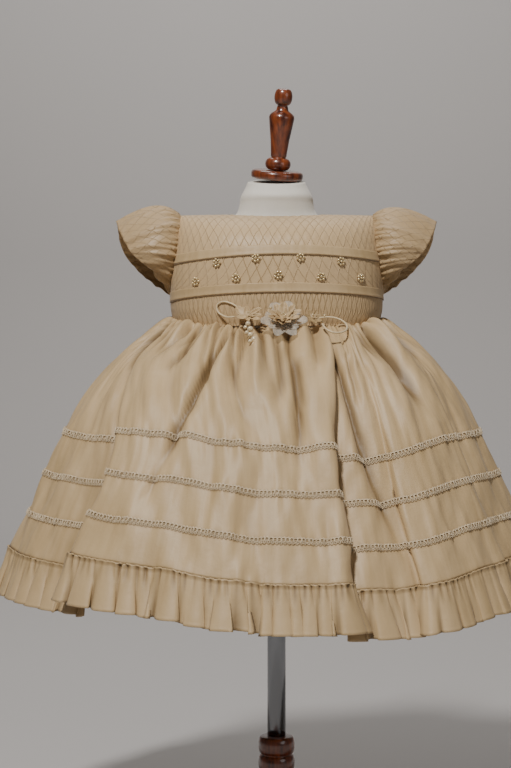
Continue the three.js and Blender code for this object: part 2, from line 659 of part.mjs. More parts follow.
// ---------------------------------------------------------------- trimmings
function addBeadFlowers() {
  BEAD_FLOWERS.forEach(({ angle, z }, n) => {
    const turn = rad(angle);
    const seat = bodicePoint("front", z, turn);
    const across = bodicePoint("front", z, turn + 0.02).sub(bodicePoint("front", z, turn - 0.02));
    const rise = bodicePoint("front", z + 0.5, turn).sub(bodicePoint("front", z - 0.5, turn));
    const normal = across.cross(rise).normalize();
    const disc = new THREE.CylinderGeometry(BEAD_FLOWER.radius - 1, BEAD_FLOWER.radius, BEAD_FLOWER.height, 8);
    const mesh = add(gown, `bead_flower_${n + 1}`, disc, 0xe6d3ab, 0.3);
    mesh.quaternion.setFromUnitVectors(new THREE.Vector3(0, 1, 0), normal);
    mesh.position.copy(seat).addScaledVector(normal, BEAD_FLOWER.height / 2 + GAP + 0.1);
  });
}

// A flat rosette: petals round a centre, lying against the waist and facing out and up.
function rosette({ x, y, z, radius, petals, depth, lean, side }) {
  const outline = range(0, 2 * Math.PI, petals * 6).slice(0, -1).map((turn) => {
    const reach = radius * (0.66 + 0.34 * Math.abs(Math.cos((petals * turn) / 2)));
    return new THREE.Vector2(reach * Math.sin(turn), reach * Math.cos(turn));
  });
  const geometry = new THREE.ExtrudeGeometry(new THREE.Shape(outline), { depth, bevelEnabled: false, steps: 1 });
  geometry.rotateX(Math.PI / 2 - rad(lean)).rotateZ(rad(side)).translate(x, y, z);
  return geometry;
}

function round(radius, sides) {
  const turns = range(0, 2 * Math.PI, sides).slice(0, -1);
  return new THREE.Shape(turns.map((turn) => new THREE.Vector2(radius * Math.cos(turn), radius * Math.sin(turn))));
}

function cordLoop(route) {
  const points = route.map(([x, z, out]) => {
    return new THREE.Vector3(x, frontY(x, z) - out, z);
  });
  const curve = new THREE.CatmullRomCurve3(points);
  return new THREE.ExtrudeGeometry(round(LOOP_CORD / 2, 8), { steps: 18, extrudePath: curve });
}

// Front of the bodice at this place across and up; below the waist it is the waist's own.
function frontY(x, z) {
  const section = rowAt(BODICE_SECTIONS, "z", Math.max(z, WAIST_Z));
  return -section.front * (1 - (Math.abs(x) / section.wide) ** SECTION_POWER) ** (1 / SECTION_POWER);
}

function addSpray() {
  add(gown, "spray_organza", rosette(SPRAY.organza), 0xd9c6a6, 0.5);
  add(gown, "spray_flower", rosette(SPRAY.centre), 0xd8c2a0, 0.4);
  add(gown, "spray_left", rosette(SPRAY.left), 0xd8c2a0, 0.4);
  add(gown, "spray_right", rosette(SPRAY.right), 0xb39770, 0.4);
  add(gown, "cord_loop_left", cordLoop(LOOP_LEFT), 0xe4d5b4, 0.5);
  add(gown, "cord_loop_right", cordLoop(LOOP_RIGHT), 0xe4d5b4, 0.5);
  const beads = DROP.map(({ x, y, z, radius }) => {
    const sphere = new THREE.SphereGeometry(radius, 8, 5).translate(x, y, z);
    sphere.deleteAttribute("normal");
    sphere.deleteAttribute("uv");
    return solidOf(mergeVertices(sphere, 1e-4));
  });
  const line = new THREE.CatmullRomCurve3(DROP.map(({ x, y, z }) => new THREE.Vector3(x, y, z)));
  const thread = new THREE.ExtrudeGeometry(round(0.6, 5), { steps: 10, extrudePath: line });
  thread.deleteAttribute("normal");
  thread.deleteAttribute("uv");
  const drop = beads.reduce((whole, one) => whole.add(one), solidOf(mergeVertices(thread, 1e-4)));
  add(gown, "pearl_drop", geometryFrom(drop), 0xe9dcc4, 0.2);
}

addBeadFlowers();
addSpray();

const model = new THREE.Group();
model.add(stand, gown);
export default model;
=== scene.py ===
"""A christening gown of champagne satin on a limbless child's dress form with a turned stand.

The tables and methods work in millimetres, and a mesh becomes metres when it is made. +Z is up,
the front faces -Y, and angles round the gown are in degrees from the middle of the front,
positive towards +X. Grids of cloth points are indexed by column (round the gown), row
(downwards) and axis.
"""

from __future__ import annotations

import logging
import math
from dataclasses import dataclass, field
from enum import Enum
from typing import Any, NamedTuple, Sequence

import bmesh
import bpy
import numpy as np
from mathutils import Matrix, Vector

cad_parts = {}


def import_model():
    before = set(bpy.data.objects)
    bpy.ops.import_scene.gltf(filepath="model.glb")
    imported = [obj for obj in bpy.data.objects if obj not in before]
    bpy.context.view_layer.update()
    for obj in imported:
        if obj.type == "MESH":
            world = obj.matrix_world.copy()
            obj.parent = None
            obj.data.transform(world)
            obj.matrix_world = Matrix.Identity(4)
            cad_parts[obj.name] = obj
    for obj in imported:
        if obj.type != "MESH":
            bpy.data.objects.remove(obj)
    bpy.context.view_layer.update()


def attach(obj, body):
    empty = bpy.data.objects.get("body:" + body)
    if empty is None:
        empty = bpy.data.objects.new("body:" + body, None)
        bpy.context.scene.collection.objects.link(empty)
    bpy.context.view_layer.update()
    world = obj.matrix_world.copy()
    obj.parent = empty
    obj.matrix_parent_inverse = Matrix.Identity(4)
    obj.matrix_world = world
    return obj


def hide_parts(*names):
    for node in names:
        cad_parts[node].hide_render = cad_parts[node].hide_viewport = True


log = logging.getLogger("gown")

MM = 0.001
ROOT = "root"
SECTION_POWER = 2.3  # squareness of a section of the torso

Grid = np.ndarray


# ---------------------------------------------------------------------------- sums
def linear(code: str) -> tuple[float, float, float, float]:
    """Turn an sRGB hex colour to linear.

    Args:
        code: the colour, such as "#cdb596".

    Returns:
        Red, green, blue and an alpha of 1.
    """
    parts = [int(code[i : i + 2], 16) / 255 for i in (1, 3, 5)]
    red, green, blue = (p / 12.92 if p <= 0.04045 else ((p + 0.055) / 1.055) ** 2.4 for p in parts)
    return (red, green, blue, 1.0)


def ease(t: np.ndarray | float) -> np.ndarray:
    """Smooth step from 0 to 1, held outside that range."""
    s = np.clip(t, 0, 1)
    return s * s * (3 - 2 * s)


def mix(a: Any, b: Any, t: Any) -> Any:
    """Straight mix of a and b."""
    return a + (b - a) * t


def through(x: np.ndarray, xs: np.ndarray, ys: np.ndarray) -> np.ndarray:
    """Smooth curve through the rows of a table, without overshoot.

    Args:
        x: where to read the curve.
        xs: rising key column.
        ys: value column.

    Returns:
        The values at x.
    """
    steps = np.diff(ys) / np.diff(xs)
    slopes = np.concatenate([[steps[0]], (steps[1:] + steps[:-1]) / 2, [steps[-1]]])
    turning = np.concatenate([[False], steps[1:] * steps[:-1] <= 0, [False]])
    slopes[turning] = 0
    limit = (
        3
        * np.minimum(
            np.abs(np.concatenate([[steps[0]], steps])), np.abs(np.concatenate([steps, [steps[-1]]]))
        )
    )
    slopes = np.clip(slopes, -limit, limit)
    x = np.clip(x, xs[0], xs[-1])
    i = np.clip(np.searchsorted(xs, x, side="right") - 1, 0, len(xs) - 2)
    h = xs[i + 1] - xs[i]
    t = (x - xs[i]) / h
    a, b = ys[i], ys[i + 1]
    return (
        a * (1 + 2 * t) * (1 - t) ** 2
        + b * t * t * (3 - 2 * t)
        + h * (slopes[i] * t * (1 - t) ** 2 - slopes[i + 1] * t * t * (1 - t))
    )


def column(rows: Sequence[NamedTuple], name: str) -> np.ndarray:
    """One named column of a table as an array."""
    return np.array([getattr(row, name) for row in rows], float)


def section_point(wide: Any, deep: Any, turn: Any, power: Any = 2 / SECTION_POWER) -> tuple[Any, Any]:
    """Point of a squared ellipse.

    Args:
        wide: half width.
        deep: half depth.
        turn: angle from the front, in radians.
        power: how the sine and cosine are bent; 1 is a true ellipse.

    Returns:
        X, and Y with the front negative.
    """
    x = np.sign(np.sin(turn)) * wide * np.abs(np.sin(turn)) ** power
    y = -np.sign(np.cos(turn)) * deep * np.abs(np.cos(turn)) ** power
    return x, y


def normals(grid: Grid, closed: bool = False) -> Grid:
    """Outward unit normals of a grid of cloth.

    Args:
        grid: points by column and row.
        closed: whether the columns run right round.

    Returns:
        A normal for each point.
    """
    if closed:
        across = np.roll(grid, -1, 0) - np.roll(grid, 1, 0)
    else:
        across = np.gradient(grid, axis=0)
    down = np.gradient(grid, axis=1)
    facing = np.cross(down, across)
    return facing / np.maximum(np.linalg.norm(facing, axis=-1, keepdims=True), 1e-9)


def wobble(
    x: np.ndarray, down: np.ndarray | float, period: float, lengths: tuple[float, float], seed: int
) -> np.ndarray:
    """Smooth noise that repeats along one direction and drifts slowly along the other.

    Args:
        x: where to read it, along the direction that repeats.
        down: where to read it, along the other direction.
        period: length after which it repeats.
        lengths: shortest and longest wave.
        seed: picks the noise.

    Returns:
        Values of about -1 to 1.
    """
    dice = np.random.default_rng(seed)
    total = 0.0
    for _ in range(22):
        turns = round(period / dice.uniform(*lengths))
        total = (
            total
            + np.sin(2 * np.pi * (turns * x / period + dice.uniform(0, 1) + down * dice.normal(0, 0.008)))
        )
    return total / math.sqrt(22)


# ---------------------------------------------------------------------------- meshes
def make_object(
    name: str, points: np.ndarray, faces: Sequence[Sequence[int]] | np.ndarray, smooth: bool = True
) -> bpy.types.Object:
    """Make a mesh object from points in millimetres.

    Args:
        name: name of the object.
        points: one row for each vertex.
        faces: vertex numbers of each face.
        smooth: whether it is shaded smooth.

    Returns:
        The object, linked to the scene.
    """
    mesh = bpy.data.meshes.new(name)
    mesh.from_pydata(
        (np.asarray(points) * MM).tolist(),
        [],
        np.asarray(faces).tolist() if isinstance(faces, np.ndarray) else faces,
    )
    mesh.polygons.foreach_set("use_smooth", [smooth] * len(mesh.polygons))
    mesh.update()
    thing = bpy.data.objects.new(name, mesh)
    bpy.context.scene.collection.objects.link(thing)
    return thing


def shell(
    name: str,
    outer: Grid,
    thickness: float,
    flat: np.ndarray,
    closed: bool = False,
    shade: np.ndarray | None = None,
    inside: float = 0.0,
) -> bpy.types.Object:
    """Make a closed wall of cloth whose outer face is a grid.

    Args:
        name: name of the object.
        outer: points of the outer face.
        thickness: of the cloth.
        flat: place of each point on the flat cloth, in millimetres, kept as the "Cloth" UV map.
        closed: whether the columns run right round.
        shade: painted shade of each point, from 0 to 1, darker the deeper it lies in a fold, kept as the
            "shade" attribute.
        inside: least painted shade of the inner face.

    Returns:
        The object.
    """
    columns, rows = outer.shape[:2]
    inner = outer - normals(outer, closed) * thickness
    points = np.concatenate([outer.reshape(-1, 3), inner.reshape(-1, 3)])
    layer = columns * rows
    spans = columns if closed else columns - 1
    i, j = np.meshgrid(np.arange(spans), np.arange(rows - 1), indexing="ij")
    a = (i * rows + j).ravel()
    b = a + 1
    d = (((i + 1) % columns) * rows + j).ravel()
    c = d + 1
    quads = [np.stack([a, b, c, d], 1), np.stack([a, d, c, b], 1) + layer]
    k = np.arange(spans)
    top, after = k * rows, ((k + 1) % columns) * rows
    quads.append(np.stack([top, after, after + layer, top + layer], 1))
    low, beyond = top + rows - 1, after + rows - 1
    quads.append(np.stack([low, low + layer, beyond + layer, beyond], 1))
    if not closed:
        r = np.arange(rows - 1)
        quads.append(np.stack([r, r + layer, r + 1 + layer, r + 1], 1))
        e = (columns - 1) * rows + r
        quads.append(np.stack([e, e + 1, e + 1 + layer, e + layer], 1))
    faces = np.concatenate(quads)
    thing = make_object(name, points, faces)
    # painted shade of the outer face; the inner face gets at least the inside's
    depth = np.zeros(layer) if shade is None else np.clip(shade, 0, 1).reshape(-1)
    both = np.concatenate([depth, np.maximum(depth, inside)]).astype(np.float32)
    thing.data.attributes.new("shade", "FLOAT", "POINT").data.foreach_set("value", both)
    uv = np.concatenate([flat.reshape(-1, 2), flat.reshape(-1, 2)]) * MM
    corners = uv[faces].copy()
    if closed:
        wide = flat[..., 0].max() * MM
        over = (corners[..., 0].max(1) - corners[..., 0].min(1)) > wide / 2
        low_side = corners[..., 0] < wide / 2
        corners[..., 0] += np.where(over[:, None] & low_side, wide, 0)
    chart = thing.data.uv_layers.new(name="Cloth")
    chart.data.foreach_set("uv", corners.reshape(-1).astype(np.float32))
    return thing


def turned(name: str, profile: Sequence[tuple[float, float]], segments: int = 96) -> bpy.types.Object:
    """Make a turned piece from its profile.

    Args:
        name: name of the object.
        profile: radius and height of each point, starting and ending on the axis.
        segments: number round.

    Returns:
        The object, round the Z axis.
    """
    inner = profile[1:-1]
    turn = np.linspace(0, 2 * np.pi, segments, endpoint=False)
    rings = [np.stack([r * np.cos(turn), r * np.sin(turn), np.full(segments, h)], 1) for r, h in inner]
    points = np.concatenate([*rings, [[0, 0, profile[0][1]]], [[0, 0, profile[-1][1]]]])
    faces: list[list[int]] = []
    for k in range(len(inner) - 1):
        for n in range(segments):
            m = (n + 1) % segments
            faces.append([k * segments + n, k * segments + m, (k + 1) * segments + m, (k + 1) * segments + n])
    foot, top = len(points) - 2, len(points) - 1
    last = (len(inner) - 1) * segments
    for n in range(segments):
        m = (n + 1) % segments
        faces.append([foot, m, n])
        faces.append([top, last + n, last + m])
    return make_object(name, points, faces)


def soft_profile(points: Sequence[tuple[float, float]], steps: int = 6) -> list[tuple[float, float]]:
    """Round a turned profile with a smooth curve through its points.

    Args:
        points: radius and height of each point.
        steps: points added to each stretch.

    Returns:
        The finer profile, with the same ends.
    """
    ends = np.array(points[1:-1], float)
    out: list[tuple[float, float]] = [points[0]]
    for k in range(len(ends) - 1):
        p0, p1, p2, p3 = ends[max(k - 1, 0)], ends[k], ends[k + 1], ends[min(k + 2, len(ends) - 1)]
        m1, m2 = (p2 - p0) * 0.42, (p3 - p1) * 0.42
        for t in np.linspace(0, 1, steps, endpoint=False):
            h = (
                p1 * (1 + 2 * t) * (1 - t) ** 2
                + p2 * t * t * (3 - 2 * t)
                + m1 * t * (1 - t) ** 2
                - m2 * t * t * (1 - t)
            )
            out.append((float(max(h[0], 0.05)), float(h[1])))
    out.append(tuple(ends[-1]))
    out.append(points[-1])
    return out


def dress(thing: bpy.types.Object, material: bpy.types.Material, slot: str, *nodes: str) -> bpy.types.Object:
    """Give a piece its material and its body, and let it stand for its CAD nodes.

    Args:
        thing: the piece.
        material: its finish.
        slot: material slot of the record; not used.
        nodes: CAD nodes that it replaces.

    Returns:
        The piece.
    """
    thing.data.materials.clear()
    thing.data.materials.append(material)
    if nodes:
        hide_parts(*nodes)
    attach(thing, ROOT)
    log.info("%s: %s", thing.name, material.name)
    return thing


# ---------------------------------------------------------------------------- materials
def feed(tree: bpy.types.NodeTree, node: bpy.types.Node, inputs: dict[Any, Any]) -> None:
    """Link each input that is given a socket, and set the others."""
    for key, value in inputs.items():
        if isinstance(value, bpy.types.NodeSocket):
            tree.links.new(value, node.inputs[key])
        else:
            node.inputs[key].default_value = value


def add_node(
    tree: bpy.types.NodeTree,
    kind: str,
    values: dict[Any, Any] | None = None,
    links: dict[Any, Any] | None = None,
    **settings: Any,
) -> bpy.types.Node:
    """Add a node to a tree.

    Args:
        tree: material or geometry tree.
        kind: the node's type.
        values: what its inputs are set to or fed by, by name or number.
        links: more of its inputs, fed by output sockets.
        settings: the node's own properties.

    Returns:
        The node.
    """
    node = tree.nodes.new(kind)
    for key, value in settings.items():
        setattr(node, key, value)
    feed(tree, node, {**(values or {}), **(links or {})})
    return node


class Shading:
    """A material's node tree, with a short call for each usual node. Sizes are in millimetres."""

    def __init__(self, name: str) -> None:
        """Start a material of this name."""
        self.material = bpy.data.materials.new(name)
        self.material.use_nodes = True
        self.tree = self.material.node_tree
        self.shader = self.tree.nodes["Principled BSDF"]

    def place(self) -> bpy.types.NodeSocket:
        """Coordinates of the object."""
        return add_node(self.tree, "ShaderNodeTexCoord").outputs["Object"]

    def chart(self) -> bpy.types.NodeSocket:
        """Flat coordinates of the cloth."""
        return add_node(self.tree, "ShaderNodeUVMap", uv_map="Cloth").outputs["UV"]

    def scaled(self, vector: bpy.types.NodeSocket, scale: tuple[float, float, float]) -> bpy.types.NodeSocket:
        """Coordinates times a scale, so that a texture is drawn out along the smallest."""
        return add_node(self.tree, "ShaderNodeMapping", {"Scale": scale, "Vector": vector}).outputs[0]

    def noise(
        self, size_mm: float, vector: bpy.types.NodeSocket, detail: float = 2.0, roughness: float = 0.5
    ) -> bpy.types.NodeSocket:
        """Soft noise whose patches are about this size."""
        values = {"Scale": 1 / (size_mm * MM), "Detail": detail, "Roughness": roughness, "Vector": vector}
        return add_node(self.tree, "ShaderNodeTexNoise", values).outputs["Fac"]

    def maths(self, operation: str, first: bpy.types.NodeSocket, second: Any) -> bpy.types.NodeSocket:
        """One sum on a socket and a second socket or number."""
        return add_node(self.tree, "ShaderNodeMath", {0: first, 1: second}, operation=operation).outputs[0]

    def spread(
        self,
        value: bpy.types.NodeSocket,
        low: float,
        high: float,
        to_low: float = 0.0,
        to_high: float = 1.0,
        interpolation: str = "LINEAR",
    ) -> bpy.types.NodeSocket:
        """A value's range brought to another range, and held outside it."""
        values = {"Value": value, "From Min": low, "From Max": high, "To Min": to_low, "To Max": to_high}
        node = add_node(self.tree, "ShaderNodeMapRange", values, interpolation_type=interpolation)
        return node.outputs[0]

    def blend(self, share: bpy.types.NodeSocket, first: Any, second: Any) -> bpy.types.NodeSocket:
        """Colour between two colours, by a share."""
        inputs = {0: share, 6: first, 7: second}
        return add_node(self.tree, "ShaderNodeMix", inputs, data_type="RGBA").outputs[2]

    def darkened(self, colour: bpy.types.NodeSocket, fold: str) -> bpy.types.NodeSocket:
        """Colour with painted shade: it turns to the fold's colour as far as the mesh's attribute "shade"
        says.
        """
        shade = add_node(self.tree, "ShaderNodeAttribute", attribute_name="shade").outputs["Fac"]
        return self.blend(shade, colour, linear(fold))

    def bump(
        self,
        height: bpy.types.NodeSocket,
        strength: float,
        depth_mm: float,
        under: bpy.types.NodeSocket | None = None,
    ) -> bpy.types.NodeSocket:
        """Relief by a height, on top of the relief under it."""
        inputs = {"Height": height, "Strength": strength, "Distance": depth_mm * MM}
        if under is not None:
            inputs["Normal"] = under
        return add_node(self.tree, "ShaderNodeBump", inputs).outputs["Normal"]

    def finish(self, inputs: dict[str, Any]) -> bpy.types.Material:
        """Feed the shader and return the material."""
        feed(self.tree, self.shader, inputs)
        return self.material


def duller(code: str, share: float) -> tuple[float, float, float, float]:
    """A share of a colour's light."""
    red, green, blue, _ = linear(code)
    return (share * red, share * green, share * blue, 1.0)


@dataclass(frozen=True)
class Satin:
    """Polyester duchesse satin: a smooth close weave with a broad soft highlight, and painted shade and
    sheen.
    """

    name: str = "duchesse satin"
    colour: str = "#c8ac83"
    # darker end of the random tone and of the painted sheen streaks
    deep: str = "#a98d62"
    fold: str = "#6f5736"  # painted shade: colour where light is lost between folds
    roughness: float = 0.52
    sheen: float = 0.06
    tone_mm: float = 60.0  # size of the slow changes of tone
    crumple_mm: float = 16.0  # size of the faint rumples
    crumple: float = 0.2
    streak_mm: float = 6.5  # width of the soft streaks along the hang of the cloth, drawn as relief and as painted sheen
    streak_length: float = 10.0  # length of a streak over its width
    thread_mm: float = 1.1  # threads are 0.2 mm apart; drawn coarser so that they show

    def build(self) -> bpy.types.Material:
        """Return the material."""
        paint = Shading(self.name)
        place, chart = paint.place(), paint.chart()
        tone = paint.noise(self.tone_mm, place, 3.0)
        hang = paint.scaled(chart, (1.0, 1 / self.streak_length, 1.0))
        streak = paint.noise(self.streak_mm, hang, 3.0, 0.55)
        # painted sheen: streaks along the hang, with random tone, move the colour towards the deep one
        tone_and_painted_sheen = paint.spread(paint.maths("ADD", tone, streak), 0.5, 1.6)
        colour = paint.blend(tone_and_painted_sheen, linear(self.colour), linear(self.deep))
        weave = {"Scale": 1 / (self.thread_mm * MM * 20), "Distortion": 1.5, "Detail": 1.0, "Vector": chart}
        threads = add_node(paint.tree, "ShaderNodeTexWave", weave).outputs["Fac"]
        fine = paint.bump(streak, 0.3, 1.1, paint.bump(threads, 0.12, 0.2))
        rumple = paint.bump(paint.noise(self.crumple_mm, place, 4.0, 0.55), self.crumple, 3.5, fine)
        return paint.finish(
            {
                "Base Color": paint.darkened(colour, self.fold),
                "Normal": rumple,
                "Roughness": self.roughness,
                "Specular IOR Level": 0.4,
                "Sheen Weight": self.sheen,
                "Sheen Roughness": 0.4,
            }
        )


@dataclass(frozen=True)
class TuckedSatin:
    """Satin sewn into a lattice of pin-tucks: diamonds edged by a raised fold and its painted shade."""

    name: str = "pin-tucked satin"
    colour: str = "#bfa279"
    # painted shade along the raised fold of each tuck
    line: str = "#98794f"
    hollow: str = "#6f5736"  # painted shade: colour where light is lost between folds
    wide_mm: float = 10.0  # width of a diamond
    high_mm: float = 20.0  # height of a diamond
    fold: float = 0.055  # width of a tuck, as a share of its spacing
    wander_mm: float = 1.7  # how far a tuck strays
    stray_mm: float = 14.0  # length along which it strays
    patch_mm: float = 38.0  # size of the patches in which the tucks fade
    rumple_mm: float = 9.0  # size of the pressed rumples
    roughness: float = 0.5
    depth: float = 0.6

    def build(self) -> bpy.types.Material:
        """Return the material."""
        paint = Shading(self.name)
        place = paint.place()
        split = add_node(paint.tree, "ShaderNodeSeparateXYZ", {0: paint.chart()})
        stray = paint.maths("SUBTRACT", paint.noise(self.stray_mm, place), 0.5)
        shift = paint.maths("MULTIPLY", stray, 2 * self.wander_mm * MM)
        across = paint.maths("ADD", split.outputs[0], shift)
        across = paint.maths("MULTIPLY", across, 1 / (self.wide_mm * MM))
        up = paint.maths("MULTIPLY", split.outputs[1], 1 / (self.high_mm * MM))
        ridges = []
        for operation in ("ADD", "SUBTRACT"):
            nearness = paint.maths("PINGPONG", paint.maths(operation, across, up), 0.5)
            ridges.append(paint.spread(nearness, 0.0, self.fold, 1.0, 0.0, "SMOOTHSTEP"))
        lattice = paint.maths("MAXIMUM", *ridges)
        fade = paint.spread(paint.noise(self.patch_mm, place), 0.36, 0.64, 0.08, 0.85)
        strength = paint.maths("MULTIPLY", lattice, fade)
        # painted shade of the tucks' folds, along the lattice lines
        colour = paint.blend(strength, linear(self.colour), linear(self.line))
        pressed = paint.noise(self.rumple_mm, place, 4.0, 0.6)
        return paint.finish(
            {
                "Base Color": paint.darkened(colour, self.hollow),
                "Normal": paint.bump(pressed, 0.3, 1.4, paint.bump(lattice, self.depth, 0.8)),
                "Roughness": self.roughness,
                "Specular IOR Level": 0.4,
                "Sheen Weight": 0.06,
            }
        )


@dataclass(frozen=True)
class Thread:
    """Matt spun thread of braid and cord: fibres scatter the light, so no clear highlight."""

    name: str
    colour: str
    strand_mm: float = 1.0
    roughness: float = 0.7

    def build(self) -> bpy.types.Material:
        """Return the material."""
        paint = Shading(self.name)
        strand = paint.noise(self.strand_mm, paint.place())
        return paint.finish(
            {
                "Base Color": paint.blend(strand, linear(self.colour), duller(self.colour, 0.8)),
                "Normal": paint.bump(strand, 0.4, 0.3),
                "Roughness": self.roughness,
                "Sheen Weight": 0.3,
            }
        )


@dataclass(frozen=True)
class Organza:
    """Sheer crisp organza: light comes through, and stacked petals look whiter."""

    name: str = "sheer organza"
    colour: str = "#dcd3c6"
    vein: str = "#cfc1a9"
    alpha: float = 0.3

    def build(self) -> bpy.types.Material:
        """Return the material."""
        paint = Shading(self.name)
        vein = paint.noise(3.0, paint.place())
        return paint.finish(
            {
                "Base Color": paint.blend(vein, linear(self.colour), linear(self.vein)),
                "Normal": paint.bump(vein, 0.5, 0.4),
                "Alpha": self.alpha,
                "Roughness": 0.35,
                "Sheen Weight": 0.3,
            }
        )


@dataclass(frozen=True)
class Pearl:
    """Pearl-coated plastic bead: milky body under a clear gloss, with a painted satin glow at the rim."""

    name: str
    colour: str
    metallic: float = 0.0
    glow: str = "#f4ead6"

    def build(self) -> bpy.types.Material:
        """Return the material."""
        paint = Shading(self.name)
        # painted sheen: the colour turns paler towards the rim
        glance = add_node(paint.tree, "ShaderNodeLayerWeight", {"Blend": 0.35}).outputs["Facing"]
        return paint.finish(
            {
                "Base Color": paint.blend(glance, linear(self.colour), linear(self.glow)),
                "Metallic": self.metallic,
                "Roughness": 0.22,
                "Coat Weight": 0.6,
                "Coat Roughness": 0.08,
            }
        )


@dataclass(frozen=True)
class VarnishedWood:
    """Turned hardwood under dark red-brown gloss varnish: grain below, sharp highlights on top."""

    name: str = "varnished turned wood"
    light: str = "#8c4520"
    dark: str = "#40190c"
    grain_mm: float = 5.0

    def build(self) -> bpy.types.Material:
        """Return the material."""
        paint = Shading(self.name)
        grain = paint.noise(self.grain_mm, paint.scaled(paint.place(), (1.0, 1.0, 0.08)), 5.0, 0.6)
        ramp = add_node(paint.tree, "ShaderNodeValToRGB", {0: grain})
        for stop, position, colour in zip(ramp.color_ramp.elements, (0.35, 0.68), (self.dark, self.light)):
            stop.position = position
            stop.color = linear(colour)
        return paint.finish(
            {
                "Base Color": ramp.outputs[0],
                "Normal": paint.bump(grain, 0.06, 0.3),
                "Roughness": 0.32,
                "Coat Weight": 0.8,
                "Coat Roughness": 0.08,
            }
        )


@dataclass(frozen=True)
class ChromedTube:
    """Chromium-plated steel tube: a clean mirror with a faint drawn grain along it."""

    name: str = "chromed steel tube"
    colour: str = "#85878a"
    grain_mm: float = 1.5

    def build(self) -> bpy.types.Material:
        """Return the material."""
        paint = Shading(self.name)
        grain = paint.noise(self.grain_mm, paint.scaled(paint.place(), (1.0, 1.0, 0.02)))
        wear = paint.spread(grain, 0.0, 1.0, 0.07, 0.16)
        return paint.finish({"Base Color": linear(self.colour), "Metallic": 1.0, "Roughness": wear})


@dataclass(frozen=True)
class FormCotton:
    """Plain-woven cotton stretched over the padded form: matt, with a fine even weave."""

    name: str = "plain cotton cover"
    colour: str = "#dcd6cb"
    blotch: str = "#cbc2b2"
    thread_mm: float = 1.0  # real threads are 0.4 mm apart; drawn coarser so that they show

    def build(self) -> bpy.types.Material:
        """Return the material."""
        paint = Shading(self.name)
        place = paint.place()
        threads = {"Scale": 1 / (self.thread_mm * MM), "Vector": place}
        weave = add_node(paint.tree, "ShaderNodeTexChecker", threads).outputs["Fac"]
        blotch = paint.noise(25.0, place, 4.0)
        return paint.finish(
            {
                "Base Color": paint.blend(blotch, linear(self.colour), linear(self.blotch)),
                "Normal": paint.bump(weave, 0.15, 0.2),
                "Roughness": 0.85,
                "Sheen Weight": 0.15,
            }
        )


@dataclass(frozen=True)
class StudioPaint:
    """Matt paint of the studio's floor and backdrop."""

    name: str
    colour: str
    cloud_mm: float = 1250.0  # size of the faint clouds

    def build(self) -> bpy.types.Material:
        """Return the material."""
        paint = Shading(self.name)
        cloud = paint.noise(self.cloud_mm, paint.place())
        colour = paint.blend(cloud, linear(self.colour), duller(self.colour, 0.93))
        return paint.finish({"Base Color": colour, "Roughness": 0.9})


# ---------------------------------------------------------------------------- studio
class LightRole(Enum):
    """What a studio light is for."""

    KEY = "key light"
    FILL = "fill light"
    BACKDROP = "backdrop light"


@dataclass
class StudioLight:
    """A soft box: where it stands, what it points at, its size in metres and its power in watts."""

    role: LightRole
    place: tuple[float, float, float]
    target: tuple[float, float, float]
    size: float
    power: float

    def build(self) -> bpy.types.Object:
        """Return the light."""
        lamp = bpy.data.lights.new(self.role.value, "AREA")
        lamp.shape = "DISK"
        lamp.size = self.size
        lamp.energy = self.power
        thing = bpy.data.objects.new(self.role.value, lamp)
        thing.location = self.place
        thing.rotation_euler = (Vector(self.target) - Vector(self.place)).to_track_quat("-Z", "Y").to_euler()
        bpy.context.scene.collection.objects.link(thing)
        return thing


@dataclass
class Studio:
    """Camera, lights, and a pale floor that curves up into the backdrop. Lengths are in metres."""

    camera_place: tuple[float, float, float] = (-0.021, -1.476, 0.470)
    view_height: float = 36.0  # sensor height, in millimetres
    lens: float = 69.19
    floor_colour: str = "#b9b4b0"
    lights: Sequence[StudioLight] = (
        StudioLight(LightRole.KEY, (-0.5, -1.5, 2.25), (0.0, 0.0, 0.45), 0.3, 62.0),
        StudioLight(LightRole.FILL, (1.7, -1.9, 1.0), (0.0, 0.0, 0.4), 1.4, 6.5),
        StudioLight(LightRole.BACKDROP, (0.0, 1.3, 3.2), (0.0, 3.4, 1.0), 2.0, 68.0),
    )

    def build_camera(self) -> None:
        """Make the level camera."""
        lens = bpy.data.cameras.new("camera")
        lens.sensor_fit = "VERTICAL"
        lens.sensor_height = self.view_height
        lens.lens = self.lens
        camera = bpy.data.objects.new("camera", lens)
        camera.location = self.camera_place
        camera.rotation_euler = (math.pi / 2, 0, 0)
        bpy.context.scene.collection.objects.link(camera)
        bpy.context.scene.camera = camera

    def build_set(self) -> None:
        """Make the lights, the surrounding light and the backdrop."""
        for light in self.lights:
            light.build()
        world = bpy.data.worlds.new("studio air")
        world.use_nodes = True
        world.node_tree.nodes["Background"].inputs["Color"].default_value = linear("#c9c8c6")
        world.node_tree.nodes["Background"].inputs["Strength"].default_value = 0.11
        bpy.context.scene.world = world
        bend = np.linspace(0, np.pi / 2, 16)
        profile = [
            (-5000.0, 0.0),
            *[(2600 + 900 * math.sin(t), 900 - 900 * math.cos(t)) for t in bend],
            (3500.0, 5000.0),
        ]
        points = [(x, y, z - 0.2) for y, z in profile for x in (-5000.0, 5000.0)]
        faces = [[2 * k, 2 * k + 1, 2 * k + 3, 2 * k + 2] for k in range(len(profile) - 1)]
        sweep = make_object("backdrop", np.array(points), faces)
        sweep.data.materials.append(StudioPaint("matt grey paper", self.floor_colour).build())


# ---------------------------------------------------------------------------- bodice
class TorsoSection(NamedTuple):
    """Section of the bodice: height, half width, and depth of its front and back."""

    z: float
    wide: float
    front: float
    back: float


